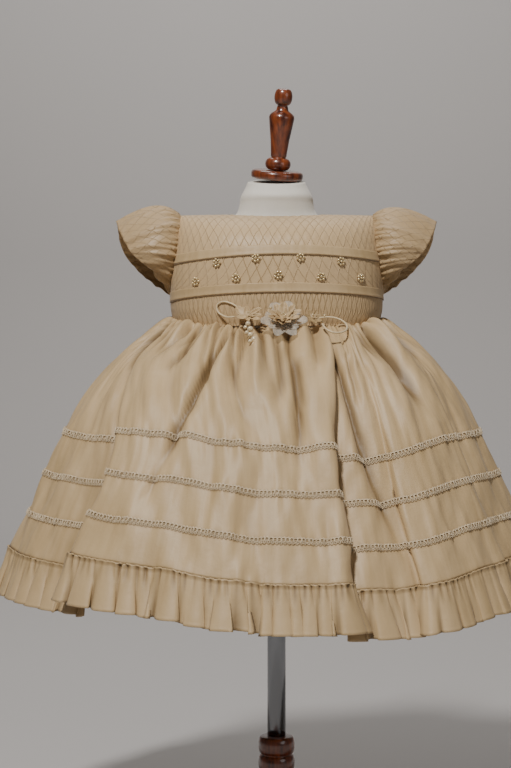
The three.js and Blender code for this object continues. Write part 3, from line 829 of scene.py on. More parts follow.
BODICE_SECTIONS = (
    TorsoSection(527, 100.5, 78.5, 74),
    TorsoSection(533, 102.5, 80, 75),
    TorsoSection(541, 104.5, 81, 76),
    TorsoSection(556, 105.5, 82, 77),
    TorsoSection(572, 106, 82, 77),
    TorsoSection(590, 105, 81.5, 77),
    TorsoSection(604, 103.5, 78.5, 75),
    TorsoSection(616, 102.5, 71, 70),
    TorsoSection(625, 101.5, 60, 61),
    TorsoSection(631, 100.5, 47, 49),
    TorsoSection(635, 99.5, 32, 34),
    TorsoSection(637.2, 98.5, 16, 17),
    TorsoSection(638, 97.5, 1, 1),
)


class Side(Enum):
    """Front or back of the bodice, and the sign of its Y."""

    FRONT = -1
    BACK = 1

    @property
    def depth(self) -> str:
        """Name of the table's column that holds this side's depth."""
        return self.name.lower()


@dataclass
class Bodice:
    """The fitted top: three tiers of pin-tucked satin in front, and a back that buttons."""

    waist_z: float = 524.4
    waist_rise: float = 5.6  # how far the waist seam rises towards the sides
    lower_tuck_z: float = 557.6
    upper_tuck_z: float = 593.4
    tuck_sag: float = 4.2  # how far the folded tucks drop towards the sides
    tuck_tilt: float = 1.2
    tuck_depth: float = 8.2
    shoulder_z: float = 638.0
    neck_wide: float = 54.0
    neck_front: float = 41.0
    neck_back: float = 37.0
    armhole_z: float = 600.0
    armhole_high: float = 37.5
    armhole_deep: float = 32.0
    gap: float = 0.3
    cloth: float = 0.8
    columns: int = 150
    button_spacing: float = 26.0
    button_count: int = 4
    spacing_z: float = 575.0  # level at which the columns stand at equal lengths of cloth
    tier_cut: tuple[float, float] = (0.303, 0.036)  # lower or middle tier as cut, in metres
    yoke_cut: tuple[float, float] = (0.303, 0.085)  # upper tier as cut, in metres
    yoke_area: float = 0.0168  # what is left of it once neck and armholes are cut, in square metres
    back_cut: tuple[float, float] = (0.165, 0.145)  # half of the back as cut, in metres
    back_share: float = 0.85  # how much of it is left once neck and armhole are cut

    def depth_at(self, side: Side, z: Any) -> np.ndarray:
        """Depth of the bodice on a side, at each height."""
        return through(
            np.asarray(z, float), column(BODICE_SECTIONS, "z"), column(BODICE_SECTIONS, side.depth)
        )

    def width_at(self, z: Any) -> np.ndarray:
        """Half width of the bodice at each height."""
        return through(np.asarray(z, float), column(BODICE_SECTIONS, "z"), column(BODICE_SECTIONS, "wide"))

    def point(self, side: Side, z: np.ndarray, turn: np.ndarray) -> Grid:
        """Points on the outside of the bodice.

        Args:
            side: front or back.
            z: heights.
            turn: angles from the middle of that side, in radians.

        Returns:
            The points.
        """
        x, y = section_point(self.width_at(z), self.depth_at(side, z), turn)
        y = -side.value * y + side.value * self.gap
        return np.stack(np.broadcast_arrays(x, y, z), -1)

    def edge(self, side: Side, z: np.ndarray) -> np.ndarray:
        """Angle at which a panel ends: at the side seam, or at the armhole."""
        rise = (z - self.armhole_z) / self.armhole_high
        seam = math.pi / 2 - 0.0006
        opened = self.armhole_deep * np.sqrt(np.clip(1 - rise * rise, 0, 1))
        share = np.minimum(1, opened / np.maximum(self.depth_at(side, z), 1e-6)) ** (SECTION_POWER / 2)
        return np.where(np.abs(rise) >= 1, seam, np.minimum(seam, np.arccos(share)))

    def top(self, side: Side, share: np.ndarray) -> np.ndarray:
        """Height at which each column ends: at the neckline, or at the shoulder seam."""
        deep = self.neck_front if side is Side.FRONT else self.neck_back

        def in_neck(z: np.ndarray) -> np.ndarray:
            """Whether these points lie inside the neckline."""
            p = self.point(side, z, share * self.edge(side, z))
            return (p[..., 0] / self.neck_wide) ** 2 + (p[..., 1] / deep) ** 2 < 1

        low = np.full_like(share, self.upper_tuck_z)
        high = np.full_like(share, self.shoulder_z)
        reach = ~in_neck(high)
        for _ in range(30):
            middle = (low + high) / 2
            inside = in_neck(middle)
            high = np.where(inside, middle, high)
            low = np.where(inside, low, middle)
        return np.where(reach, self.shoulder_z, low)

    def waist(self, shares: np.ndarray) -> np.ndarray:
        """Height of the waist seam at each column."""
        return self.waist_z + self.gap + self.waist_rise * np.abs(np.sin(shares * np.pi / 2)) ** 4

    def tuck(self, z: float, shares: np.ndarray) -> np.ndarray:
        """Height of the lower edge of a folded tuck at each column."""
        across = np.sign(shares) * np.abs(np.sin(shares * np.pi / 2)) ** (2 / SECTION_POWER)
        return z - self.tuck_sag * across**2 + self.tuck_tilt * across

    def shares(self, side: Side, count: int, low: float = -1.0, high: float = 1.0) -> np.ndarray:
        """Columns at equal lengths of cloth, as shares of the panel's width."""
        dense = np.linspace(low, high, 800)
        z = np.full_like(dense, self.spacing_z)
        line = self.point(side, z, dense * self.edge(side, z))
        run = np.concatenate([[0], np.cumsum(np.linalg.norm(np.diff(line, axis=0), axis=1))])
        return np.interp(np.linspace(0, run[-1], count), run, dense)

    def panel(
        self, side: Side, shares: np.ndarray, bottom: np.ndarray, top: np.ndarray | None, rows: int
    ) -> tuple[Grid, np.ndarray]:
        """A piece of the bodice between two heights.

        Args:
            side: front or back.
            shares: its columns.
            bottom: heights of its lower edge.
            top: heights of its upper edge, or None for the neck and shoulder.
            rows: number of rows.

        Returns:
            Its points, and their places on the flat cloth.
        """
        ends = self.top(side, shares) if top is None else top
        rise = 1 - np.linspace(0, 1, rows) ** (1.0 if top is not None else 1.6)
        z = bottom[:, None] + (ends - bottom)[:, None] * rise[None, :]
        z = np.minimum(z, self.shoulder_z)
        turn = shares[:, None] * self.edge(side, z)
        grid = self.point(side, z, turn)
        level = np.full_like(shares, 575.0)
        line = self.point(side, level, shares * self.edge(side, level))
        run = np.concatenate([[0], np.cumsum(np.linalg.norm(np.diff(line, axis=0), axis=1))])
        run -= np.interp(0, shares, run)
        flat = np.stack([run[:, None] * np.ones_like(z), z], -1)
        drop = np.concatenate(
            [np.zeros((len(shares), 1)), np.cumsum(np.linalg.norm(np.diff(grid, axis=1), axis=2), 1)], 1
        )
        flat[..., 1] = -drop + drop[:, -1:] + bottom[:, None]
        if side is Side.BACK:
            grid, flat = grid[::-1], flat[::-1]
        return grid, flat

    def puff(self, grid: Grid, flat: np.ndarray, wide: float, high: float, height: float) -> Grid:
        """Raise the cloth inside each diamond of the tucks.

        Args:
            grid: points of the panel.
            flat: their places on the flat cloth.
            wide: width of a diamond.
            high: height of a diamond.
            height: how far its middle stands out.

        Returns:
            The raised points.
        """
        a = flat[..., 0] / wide + flat[..., 1] / high
        b = flat[..., 0] / wide - flat[..., 1] / high
        lift = height * np.abs(np.sin(np.pi * a) * np.sin(np.pi * b)) ** 0.5
        return grid + normals(grid) * lift[..., None]

    def build(
        self, tucked: bpy.types.Material, pleated: bpy.types.Material, satin: bpy.types.Material
    ) -> None:
        """Make every piece of the bodice.

        Args:
            tucked: finish of the yoke, the middle and the back.
            pleated: finish of the closely tucked waist tier.
            satin: finish of the plain folded tucks and buttons.
        """
        shares = self.shares(Side.FRONT, self.columns)
        waist, lower, upper = (
            self.waist(shares),
            self.tuck(self.lower_tuck_z, shares),
            self.tuck(self.upper_tuck_z, shares),
        )
        tiers = (
            ("bodice_front_lower", waist, lower - 0.3, 30, pleated, 5.0, 26.0, 0.5),
            ("bodice_front_middle", lower, upper - 0.3, 36, tucked, 9.0, 18.0, 0.4),
            ("bodice_front_upper", upper, None, 60, tucked, 9.0, 18.0, 0.5),
        )
        for name, bottom, top, rows, finish, wide, high, height in tiers:
            grid, flat = self.panel(Side.FRONT, shares, bottom, top, rows)
            piece = shell(name + "_cloth", self.puff(grid, flat, wide, high, height), self.cloth, flat)
            dress(piece, finish, "tucked_satin", name)
        for name, z in (("tuck_lower", self.lower_tuck_z), ("tuck_upper", self.upper_tuck_z)):
            line = self.tuck(z, shares)
            grid, flat = self.panel(Side.FRONT, shares * 0.992, line - 0.6, line + self.tuck_depth, 12)
            roll = 0.9 + 0.4 * np.exp(-(((flat[..., 1] - line[:, None]) / 1.8) ** 2))
            piece = shell(name + "_cloth", grid + normals(grid) * roll[..., None], 0.7, flat)
            dress(piece, satin, "satin", name)
        for name, low, high in (("bodice_back_right", 0.002, 1.0), ("bodice_back_left", -1.0, -0.002)):
            columns = self.shares(Side.BACK, 80, low, high)
            grid, flat = self.panel(Side.BACK, columns, self.waist(columns), None, 70)
            piece = shell(name + "_cloth", self.puff(grid, flat, 10, 20, 0.45), self.cloth, flat)
            dress(piece, tucked, "tucked_satin", name)
        columns = np.linspace(-0.055, 0.055, 14)
        grid, flat = self.panel(Side.BACK, columns, self.waist(columns), None, 70)
        placket = shell("back_placket_cloth", grid + normals(grid) * 1.3, 0.8, flat)
        dress(placket, satin, "satin", "back_placket")
        self.build_buttons(satin)

    def build_buttons(self, satin: bpy.types.Material) -> None:
        """Make the covered buttons down the back."""
        for n in range(self.button_count):
            z = self.waist_z + 14 + n * self.button_spacing
            seat = self.point(Side.BACK, np.array([z, z + 1]), np.zeros(2))
            lean = math.atan2(seat[0, 1] - seat[1, 1], 1)
            dome = turned(
                "button",
                [(0, 0), (4.3, 0), (4.6, 0.5), (4.4, 1.2), (3.6, 1.9), (2.2, 2.4), (0.8, 2.6), (0, 2.65)],
                28,
            )
            dome.name = f"button_{n + 1}_cover"
            pose = np.array(
                [[1, 0, 0], [0, math.sin(lean), math.cos(lean)], [0, -math.cos(lean), math.sin(lean)]]
            )
            out = np.array([0, math.cos(lean), math.sin(lean)]) * 2.1
            for vertex in dome.data.vertices:
                p = np.array(vertex.co) / MM
                vertex.co = (pose @ p + seat[0] + out) * MM
            chart = dome.data.uv_layers.new(name="Cloth")
            for corner in dome.data.loops:
                p = dome.data.vertices[corner.vertex_index].co
                chart.data[corner.index].uv = (p.x, p.z)
            dress(dome, satin, "satin", f"button_{n + 1}")


# ---------------------------------------------------------------------------- sleeves
class HemPoint(NamedTuple):
    """Point of the sleeve's hem: angle round from its top, in degrees and positive in front."""

    turn: float
    x: float
    y: float
    z: float


SLEEVE_HEM = (
    HemPoint(-180, 107.5, 0, 560),
    HemPoint(-135, 132, 30, 577.5),
    HemPoint(-90, 152, 40, 598),
    HemPoint(-45, 159, 28, 614.5),
    HemPoint(0, 160, 0, 631.5),
    HemPoint(45, 151.5, -28, 613.5),
    HemPoint(90, 140.5, -38, 596),
    HemPoint(135, 125, -34, 583),
    HemPoint(165, 113, -15, 569),
    HemPoint(180, 107.5, 0, 560),
)


@dataclass
class Sleeves:
    """Two short puffed sleeves, gathered into the armholes, that hang open with a plain hem."""

    bodice: Bodice
    hems: Sequence[HemPoint] = SLEEVE_HEM
    puff: float = 10.5
    inset: float = 0.98
    tuck_in: float = 1.3  # how far the head reaches inside the armhole
    gathers: int = 40
    gather_depth: float = 2.5
    hem: float = 8.0
    cloth: float = 0.8
    cut: tuple[float, float] = (0.26, 0.055)  # one sleeve as cut, in metres

    def head(self, turn: np.ndarray) -> Grid:
        """Points of the armhole, by angle from its top, positive towards the front."""
        z = self.bodice.armhole_z + self.bodice.armhole_high * self.inset * np.cos(turn)
        y = self.bodice.armhole_deep * self.inset * np.sin(turn)
        deep = np.where(y > 0, self.bodice.depth_at(Side.FRONT, z), self.bodice.depth_at(Side.BACK, z))
        share = np.clip(np.abs(y) / deep, 0, 1)
        x = self.bodice.width_at(z) * (1 - share**SECTION_POWER) ** (1 / SECTION_POWER)
        return np.stack([x - self.tuck_in, -y, z], -1)

    def surface(self, turn: np.ndarray, along: np.ndarray) -> Grid:
        """Points of the sleeve before it is gathered.

        Args:
            turn: angles round the sleeve from its top, in radians.
            along: 0 at the armhole to 1 at the hem.

        Returns:
            The points.
        """
        across = np.sin(turn)
        keys = column(self.hems, "turn")
        degrees = np.degrees(turn)
        hem = np.stack([through(degrees, keys, column(self.hems, name)) for name in ("x", "y", "z")], -1)
        puff = self.puff * np.sin(np.pi * along**0.75) * (0.35 + 0.65 * np.cos(turn / 2) ** 2)
        point = mix(self.head(turn), hem, along[..., None])
        point[..., 1] -= puff * across
        point[..., 2] += puff * np.maximum(0, np.cos(turn))
        return point

    def build(self, tucked: bpy.types.Material) -> None:
        """Make both sleeves."""
        turns = np.linspace(-np.pi, np.pi, 320, endpoint=False)
        steps = np.linspace(0, 1, 46) ** 1.15
        turn, along = np.meshgrid(turns, steps, indexing="ij")
        dice = np.random.default_rng(4)
        for name, mirror in (("sleeve_right", 1), ("sleeve_left", -1)):
            grid = self.surface(turn, along)
            valleys = np.zeros_like(turn)
            for n in range(self.gathers):
                at = -np.pi + 2 * np.pi * (n + dice.uniform(-0.3, 0.3)) / self.gathers
                reach = dice.uniform(0.14, 0.34) if dice.uniform() < 0.62 else dice.uniform(0.5, 0.9)
                width = dice.uniform(0.024, 0.038) * (1 + 1.5 * along)
                away = np.angle(np.exp(1j * (turn - at - 0.25 * along * math.sin(3 * at))))
                depth = (
                    dice.uniform(0.5, 1.2) * np.exp(-((along / reach) ** 1.8)) * ease((along + 0.02) / 0.05)
                )
                valleys += depth * np.exp(-((np.abs(away) / width) ** 1.3))
            waves = 0.9 * wobble(turn * 35, 60 * along, 2 * np.pi * 35, (11, 26), 71) * ease(along / 0.25)
            lift = (
                self.gather_depth * (0.4 * np.exp(-2 * along) - valleys) * ease((along + 0.015) / 0.05)
                + waves
            )
            grid = grid + normals(grid, True) * lift[..., None]
            band = ease((along * 60 - (60 - self.hem)) / 0.8) * 0.35
            grid = grid + normals(grid, True) * band[..., None]
            grid[..., 0] *= mirror
            flat = np.stack([turn / (2 * np.pi) * 235 + 117.5, along * 60], -1)
            if mirror < 0:
                grid, flat = grid[::-1], flat[::-1]
                flat[..., 0] = 235 - flat[..., 0]
            # painted shade: darker in the valleys of the gathers by the armhole, and on the inner face
            piece = shell(
                name + "_cloth",
                grid,
                self.cloth,
                flat,
                True,
                0.55 * ease((valleys[:: mirror] - 0.25) / 1.1),
                0.3,
            )
            dress(piece, tucked, "tucked_satin", name)


# ---------------------------------------------------------------------------- skirt
class SkirtLevel(NamedTuple):
    """Level of the bell: length of cloth from the waist, half width and depth, height and side rise."""

    cloth: float
    wide: float
    deep: float
    z: float
    rise: float


class FoldLine(NamedTuple):
    """Ridge, trough or turn: its angles at waist and hem, how far it stands out and hangs down."""

    waist: float
    hem: float
    out: float
    drop: float


class Crease(NamedTuple):
    """Soft ridge or trough, given one by one.

    It runs from one angle and length of cloth to another, bows sideways by some degrees, and has
    a half width and a height in millimetres, negative for a trough.
    """

    angle: float
    start: float
    end_angle: float
    end: float
    bow: float
    width: float
    height: float


SKIRT_LEVELS = (
    SkirtLevel(0, 100.5, 77, 524.4, 5.6),
    SkirtLevel(7, 104, 82, 524.8, 10),
    SkirtLevel(17, 111, 90.5, 522, 12),
    SkirtLevel(34, 124, 105.5, 515, 9),
    SkirtLevel(64, 149.5, 130.5, 497.5, 4),
    SkirtLevel(100, 174, 158, 471, 1),
    SkirtLevel(132, 192, 177, 443, 0),
    SkirtLevel(156, 203, 190, 421, 0),
    SkirtLevel(199, 220, 209, 382, 0),
    SkirtLevel(242, 236, 228, 343.5, 0),
    SkirtLevel(285, 252, 245, 308, 0),
)

SKIRT_LINES = (
    FoldLine(-90, -90, 0, -4),
    FoldLine(-80, -74, 4, -3),
    FoldLine(-74, -61, -5, 0),
    FoldLine(-70, -50, -16, 2),
    FoldLine(-67.5, -45.5, -19, 3),
    FoldLine(-65.5, -46.5, -8, -4),
    FoldLine(-63.5, -49, 3, -13),
    FoldLine(-60, -45, 8, -13),
    FoldLine(-50, -34, 6, -9),
    FoldLine(-37, -23, 1, -6),
    FoldLine(-26, -12, 6, 0),
    FoldLine(-12, -1, 3, 5),
    FoldLine(6, 8, 3, 6),
    FoldLine(19, 13.5, 6, 5),
    FoldLine(22, 15.5, -4, 8),
    FoldLine(24, 14.5, -12, 13),
    FoldLine(26.5, 19, -9, 13),
    FoldLine(29.5, 27, -8, 13),
    FoldLine(31.5, 31, -9, 12),
    FoldLine(33.5, 30.5, 0, 11),
    FoldLine(38, 35, 6, 8),
    FoldLine(49, 45, 5, 1),
    FoldLine(58, 53, 6, -2),
    FoldLine(61, 55, -4, 0),
    FoldLine(63, 53, -13, 3),
    FoldLine(68, 61, -8, 0),
    FoldLine(78, 75, 3, -3),
    FoldLine(90, 90, 0, -4),
    FoldLine(104, 102, 5, -3),
    FoldLine(109, 109, 5, 0),
    FoldLine(112, 111.5, -5, 3),
    FoldLine(114.5, 110, -14, 5),
    FoldLine(120, 118, -8, 2),
    FoldLine(131, 132, 4, -2),
    FoldLine(142, 143, -7, 3),
    FoldLine(146, 149, -15, 5),
    FoldLine(148, 147.5, -4, 0),
    FoldLine(151, 150, 6, -5),
    FoldLine(163, 164, 4, -3),
    FoldLine(176, 177, -2, 3),
    FoldLine(188, 190, 5, -2),
    FoldLine(197, 200, 6, -4),
    FoldLine(200, 203, -4, 1),
    FoldLine(202.5, 201.5, -14, 6),
    FoldLine(209, 211, -8, 3),
    FoldLine(221, 224, 5, -3),
    FoldLine(233, 236, -7, 1),
    FoldLine(238, 243, -15, 4),
    FoldLine(241, 241.5, -4, 0),
    FoldLine(244, 244, 6, -4),
    FoldLine(257, 256, 3, -4),
)

CREASES = (
    Crease(-72, 8, -58, 110, 0, 9, -6),
    Crease(-66, 4, -53, 74, 0, 4, -4),
    Crease(-58, 8, -50, 70, 0, 5, -5),
    Crease(-51, 6, -47, 52, 0, 6, 3),
    Crease(-46, 10, -48, 78, 0, 5, -5),
    Crease(-40, 8, -41, 62, 0, 5, -4),
    Crease(-35, 8, -39, 96, 1, 5, -4.5),
    Crease(-30, 6, -33, 70, 0, 7, 3),
    Crease(-22, 8, -30, 235, 2, 5, -6),
    Crease(-17, 20, -21, 120, 1, 9, 3),
    Crease(-13, 4, -10, 112, -2, 4, -4.5),
    Crease(-8, 30, -5, 122, 0, 7, 5),
    Crease(-3, 10, 1, 124, 2, 4, -5),
    Crease(3, 14, 7, 120, 0, 4, -4),
    Crease(7, 60, 6, 178, 0, 3.5, -6),
    Crease(11, 6, 12, 66, 0, 6, 4),
    Crease(16, 4, 14, 96, 0, 4, -5),
    Crease(20, 14, 14, 95, 2.5, 5, 3),
    Crease(22, 18, 30, 250, -2, 5, -5),
    Crease(27, 55, 26, 128, 0, 3.5, -3),
    Crease(34, 8, 31, 70, 0, 6, 4),
    Crease(39, 8, 40, 74, 0, 5, -5),
    Crease(47, 8, 49, 140, -2, 8, -7),
    Crease(55, 8, 51, 80, 0, 7, 4),
    Crease(61, 6, 58, 62, 0, 5, -5),
    Crease(66, 3, 60, 80, 0, 4, -4),
    Crease(76, 3, 69, 70, 0, 4, -4),
    Crease(71, 6, 66, 90, 0, 8, -5),
    Crease(83, 3, 75, 62, 0, 4, -4),
    Crease(-84, 2, -73, 66, 0, 4, -4.5),
    Crease(-78, 2, -64, 84, 0, 3.5, -4.5),
    Crease(100, 6, 103, 140, 0, 7, -3),
    Crease(126, 8, 122, 110, 0, 8, -3.5),
    Crease(137, 6, 139, 160, 1, 6, 1.5),
    Crease(156, 8, 160, 155, 0, 7, -3.5),
    Crease(171, 6, 168, 190, -1, 7, -3),
    Crease(184, 8, 186, 100, 0, 6, 2),
    Crease(195, 6, 193, 175, 0, 7, -3.5),
    Crease(214, 8, 218, 140, 0, 8, -3),
    Crease(228, 6, 226, 175, 1, 7, 2),
    Crease(250, 8, 253, 130, 0, 8, -3.5),
    Crease(262, 6, 260, 90, 0, 7, 1.5),
)


class Nudge(NamedTuple):
    """Local move of a fold line: where it is among the lines and down the cloth, and how far.

    Its reach is counted in lines and in millimetres of cloth, its turn in degrees, and its drop
    in millimetres.
    """

    place: float
    lines: float
    cloth: float
    reach: float
    turn: float
    drop: float


NUDGES = (
    Nudge(6.3, 1.8, 140, 75, 5.0, 7.0),
    Nudge(17.5, 3.0, 150, 90, 0.0, 4.0),
    Nudge(6.0, 2.0, 235, 90, 6.0, 0.0),
)


@dataclass
class Skirt:
    """The gathered bell of the skirt, with its deep folds, creases and puckers."""

    levels: Sequence[SkirtLevel] = SKIRT_LEVELS
    lines: Sequence[FoldLine] = SKIRT_LINES
    creases: Sequence[Crease] = CREASES
    left_seam: int = 0
    right_seam: int = 27
    fold_from: float = 20.0
    braid_cloth: tuple[float, float, float] = (156.0, 199.0, 242.0)
    spacing: float = 2.7  # between columns of the mesh
    rows: int = 116
    cloth: float = 0.7
    lean: float = -5.0  # how far the bell hangs to one side of the waist
    gather_spacing: float = 11.5  # cloth taken up by each gather of the waist
    gather_depth: float = 6.4
    pucker: float = 0.75  # height of the puckers that the braids draw up
    nudges: Sequence[Nudge] = NUDGES
    run: np.ndarray = field(init=False)  # length of cloth round the skirt, by place
    places: np.ndarray = field(init=False)
    cut: tuple[float, float] = (0.93, 0.285)  # one panel as cut, in metres

    def __post_init__(self) -> None:
        """Measure the cloth round the skirt."""
        self.places = np.linspace(0, len(self.lines), 6001)
        ring = self.base(self.places, np.full_like(self.places, 200.0))
        self.run = np.concatenate([[0], np.cumsum(np.linalg.norm(np.diff(ring, axis=0), axis=1))])

    @property
    def full(self) -> float:
        """Length of the cloth from the waist to the ruffle."""
        return self.levels[-1].cloth

    def line(self, place: np.ndarray) -> dict[str, np.ndarray]:
        """The table of lines at any place between two of them.

        Args:
            place: numbers of lines, and what lies between.

        Returns:
            Each column of the table, on a smooth curve through its rows.
        """
        count = len(self.lines)
        low = np.floor(place).astype(int)
        t = place - low
        out: dict[str, np.ndarray] = {}
        for name in FoldLine._fields:
            values = column(self.lines, name)
            turn = 360.0 if name in ("waist", "hem") else 0.0
            p = [values[(low + k) % count] + np.floor_divide(low + k, count) * turn for k in (-1, 0, 1, 2)]
            start, end = (p[2] - p[0]) / 2, (p[3] - p[1]) / 2
            bent = ((2 * (p[1] - p[2]) + start + end) * t - 3 * (p[1] - p[2]) - 2 * start - end) * t + start
            out[name] = bent * t + p[1]
        return out

    def moved(self, place: np.ndarray, cloth: np.ndarray) -> tuple[np.ndarray, np.ndarray]:
        """Turn, in degrees, and drop that the nudges add at each point."""
        turn, drop = np.zeros_like(cloth), np.zeros_like(cloth)
        for nudge in self.nudges:
            near = np.exp(
                -(((place - nudge.place) / nudge.lines) ** 2) - ((cloth - nudge.cloth) / nudge.reach) ** 2
            )
            turn, drop = turn + nudge.turn * near, drop + nudge.drop * near
        return turn, drop

    def angle(self, place: np.ndarray, cloth: np.ndarray) -> np.ndarray:
        """Angle round the gown, in degrees, at a place and a length of cloth from the waist."""
        line = self.line(place)
        return mix(line["waist"], line["hem"], ease(cloth / self.full * 1.5)) + self.moved(place, cloth)[0]

    def base(self, place: np.ndarray, cloth: np.ndarray) -> Grid:
        """Points of the skirt before its gathers.

        Args:
            place: places among the lines.
            cloth: lengths of cloth from the waist.

        Returns:
            The points.
        """
        line = self.line(place)
        key = column(self.levels, "cloth")
        wide, deep, z, rise = (
            through(cloth, key, column(self.levels, name)) for name in ("wide", "deep", "z", "rise")
        )
        extra, lower = self.moved(place, cloth)
        turn = np.radians(mix(line["waist"], line["hem"], ease(cloth / self.full * 1.5)) + extra)
        stand = ease((cloth - self.fold_from) / (self.full * 0.6))
        power = mix(2 / SECTION_POWER, 1, ease(cloth / 60))
        x, y = section_point(wide + line["out"] * stand, deep + line["out"] * stand, turn, power)
        x = x + self.lean * ease(cloth / 180)
        side = np.abs(np.sin(turn)) ** 4
        return np.stack([x, y, z + rise * side - line["drop"] * ease(cloth / (self.full * 0.55)) - lower], -1)

    def relief(self, place: np.ndarray, cloth: np.ndarray) -> np.ndarray:
        """How far gathers, creases and puckers stand out from the bell.

        Args:
            place: places among the lines.
            cloth: lengths of cloth from the waist.

        Returns:
            Heights in millimetres.
        """
        around = np.interp(place, self.places, self.run)
        total = self.run[-1]
        key = column(self.levels, "cloth")
        radius = (
            (
                through(cloth, key, column(self.levels, "wide"))
                + through(cloth, key, column(self.levels, "deep"))
            )
            / 2
        )
        angle = self.angle(place, cloth)
        height = np.zeros_like(cloth)
        for crease in self.creases:
            t = (cloth - crease.start) / (crease.end - crease.start)
            path = (
                mix(crease.angle, crease.end_angle, np.clip(t, 0, 1))
                + 4 * crease.bow * np.clip(t * (1 - t), 0, 1)
            )
            away = np.radians((angle - path + 180) % 360 - 180) * radius
            rise = np.sin(np.pi * np.clip(t, 0, 1) ** 0.62)
            width = crease.width * (0.55 + 0.75 * np.clip(t, 0, 1))
            height += (
                crease.height
                * rise
                * np.exp(-((np.abs(away) / width) ** (2.0 if crease.height > 0 else 1.55)))
            )
        height *= 2.0
        valleys = self.gathers(place, cloth)
        height += self.gather_depth * (0.35 * np.exp(-cloth / 60) - valleys) * (0.4 + 0.6 * ease(cloth / 9))
        height += 1.9 * wobble(around, cloth, total, (26, 70), 21) * ease((cloth - 50) / 100)
        height += 0.35 * wobble(around, 2 * cloth, total, (9, 24), 22) * ease((cloth - 10) / 30)
        for n, middle in enumerate((*self.braid_cloth, self.full)):
            near = np.exp(-np.abs(cloth - middle) / 13.0)
            height += self.pucker * wobble(around, 0, total, (7, 17), 31 + n) * near
        return height

    def gathers(self, place: np.ndarray, cloth: np.ndarray) -> np.ndarray:
        """How deep each point lies in the valleys between the gathers of the waist.

        Args:
            place: places among the lines.
            cloth: lengths of cloth from the waist.

        Returns:
            Depths of about 0 to 1.3, as shares of the gathers' depth.
        """
        around = np.interp(place, self.places, self.run)
        total = self.run[-1]
        dice = np.random.default_rng(11)
        count = int(total / self.gather_spacing)
        valleys = np.zeros_like(cloth)
        for n in range(count):
            at = total * (n + dice.uniform(-0.32, 0.32)) / count
            reach = dice.uniform(20, 48) if dice.uniform() < 0.55 else dice.uniform(60, 150)
            drift = dice.uniform(-8, 8)
            away = (around - at - drift * (cloth / 60) + total / 2) % total - total / 2
            width = dice.uniform(1.8, 2.8) * (1 + cloth / 85)
            valleys += (
                dice.uniform(0.4, 1.3)
                * np.exp(-((np.abs(away) / width) ** 1.15))
                * np.exp(-((cloth / reach) ** 1.6))
            )
        return valleys

    def surface(self, place: np.ndarray, cloth: np.ndarray) -> Grid:
        """Finished points of the skirt.

        Args:
            place: places among the lines.
            cloth: lengths of cloth from the waist.

        Returns:
            The points.
        """
        step = 0.03
        across = self.base(place + step, cloth) - self.base(place - step, cloth)
        low, high = np.maximum(cloth - 1, 0), np.minimum(cloth + 1, self.full)
        down = self.base(place, high) - self.base(place, low)
        facing = np.cross(down, across)
        facing /= np.maximum(np.linalg.norm(facing, axis=-1, keepdims=True), 1e-9)
        return self.base(place, cloth) + facing * self.relief(place, cloth)[..., None]

    def columns_between(self, first: float, last: float, spacing: float) -> np.ndarray:
        """Places at equal lengths of cloth between two lines."""
        start, end = np.interp([first, last], self.places, self.run)
        count = max(2, int((end - start) / spacing))
        return np.interp(np.linspace(start, end, count + 1), self.run, self.places)

    def build(self, satin: bpy.types.Material) -> None:
        """Make the front and back panels."""
        steps = self.full * np.linspace(0, 1, self.rows) ** 1.12
        for name, first, last in (
            ("skirt_front", self.left_seam, self.right_seam), ("skirt_back", self.right_seam, len(self.lines))
        ):
            places = self.columns_between(first, last, self.spacing)
            place, cloth = np.meshgrid(places, steps, indexing="ij")
            grid = self.surface(place, cloth)
            flat = np.stack([np.interp(place, self.places, self.run), -cloth], -1)
            # painted shade: darker in the gathers' valleys, in troughs of the relief, and in parts set back
            # behind the deep folds
            hidden = self.line(place)["out"] * ease((cloth - self.fold_from) / (self.full * 0.6))
            painted_pleat_shade = 0.95 * ease((self.gathers(place, cloth) - 0.35) / 0.7) * np.exp(-cloth / 110)
            shade = (
                painted_pleat_shade + 0.9 * ease((-self.relief(place, cloth) - 2.2) / 6) + 0.3 * ease((-hidden - 7) / 12)
            )
            # painted shadow: a dark line under each braid, and one along the ruffle seam
            for middle in self.braid_cloth:
                shade = shade + 0.5 * np.exp(-(((cloth - middle - 0.8) / 3.0) ** 2))
            shade = shade + 0.5 * np.exp(-(((cloth - self.full) / 2.0) ** 2))
            piece = shell(name + "_cloth", grid, self.cloth, flat, shade=shade)
            dress(piece, satin, "satin", name)


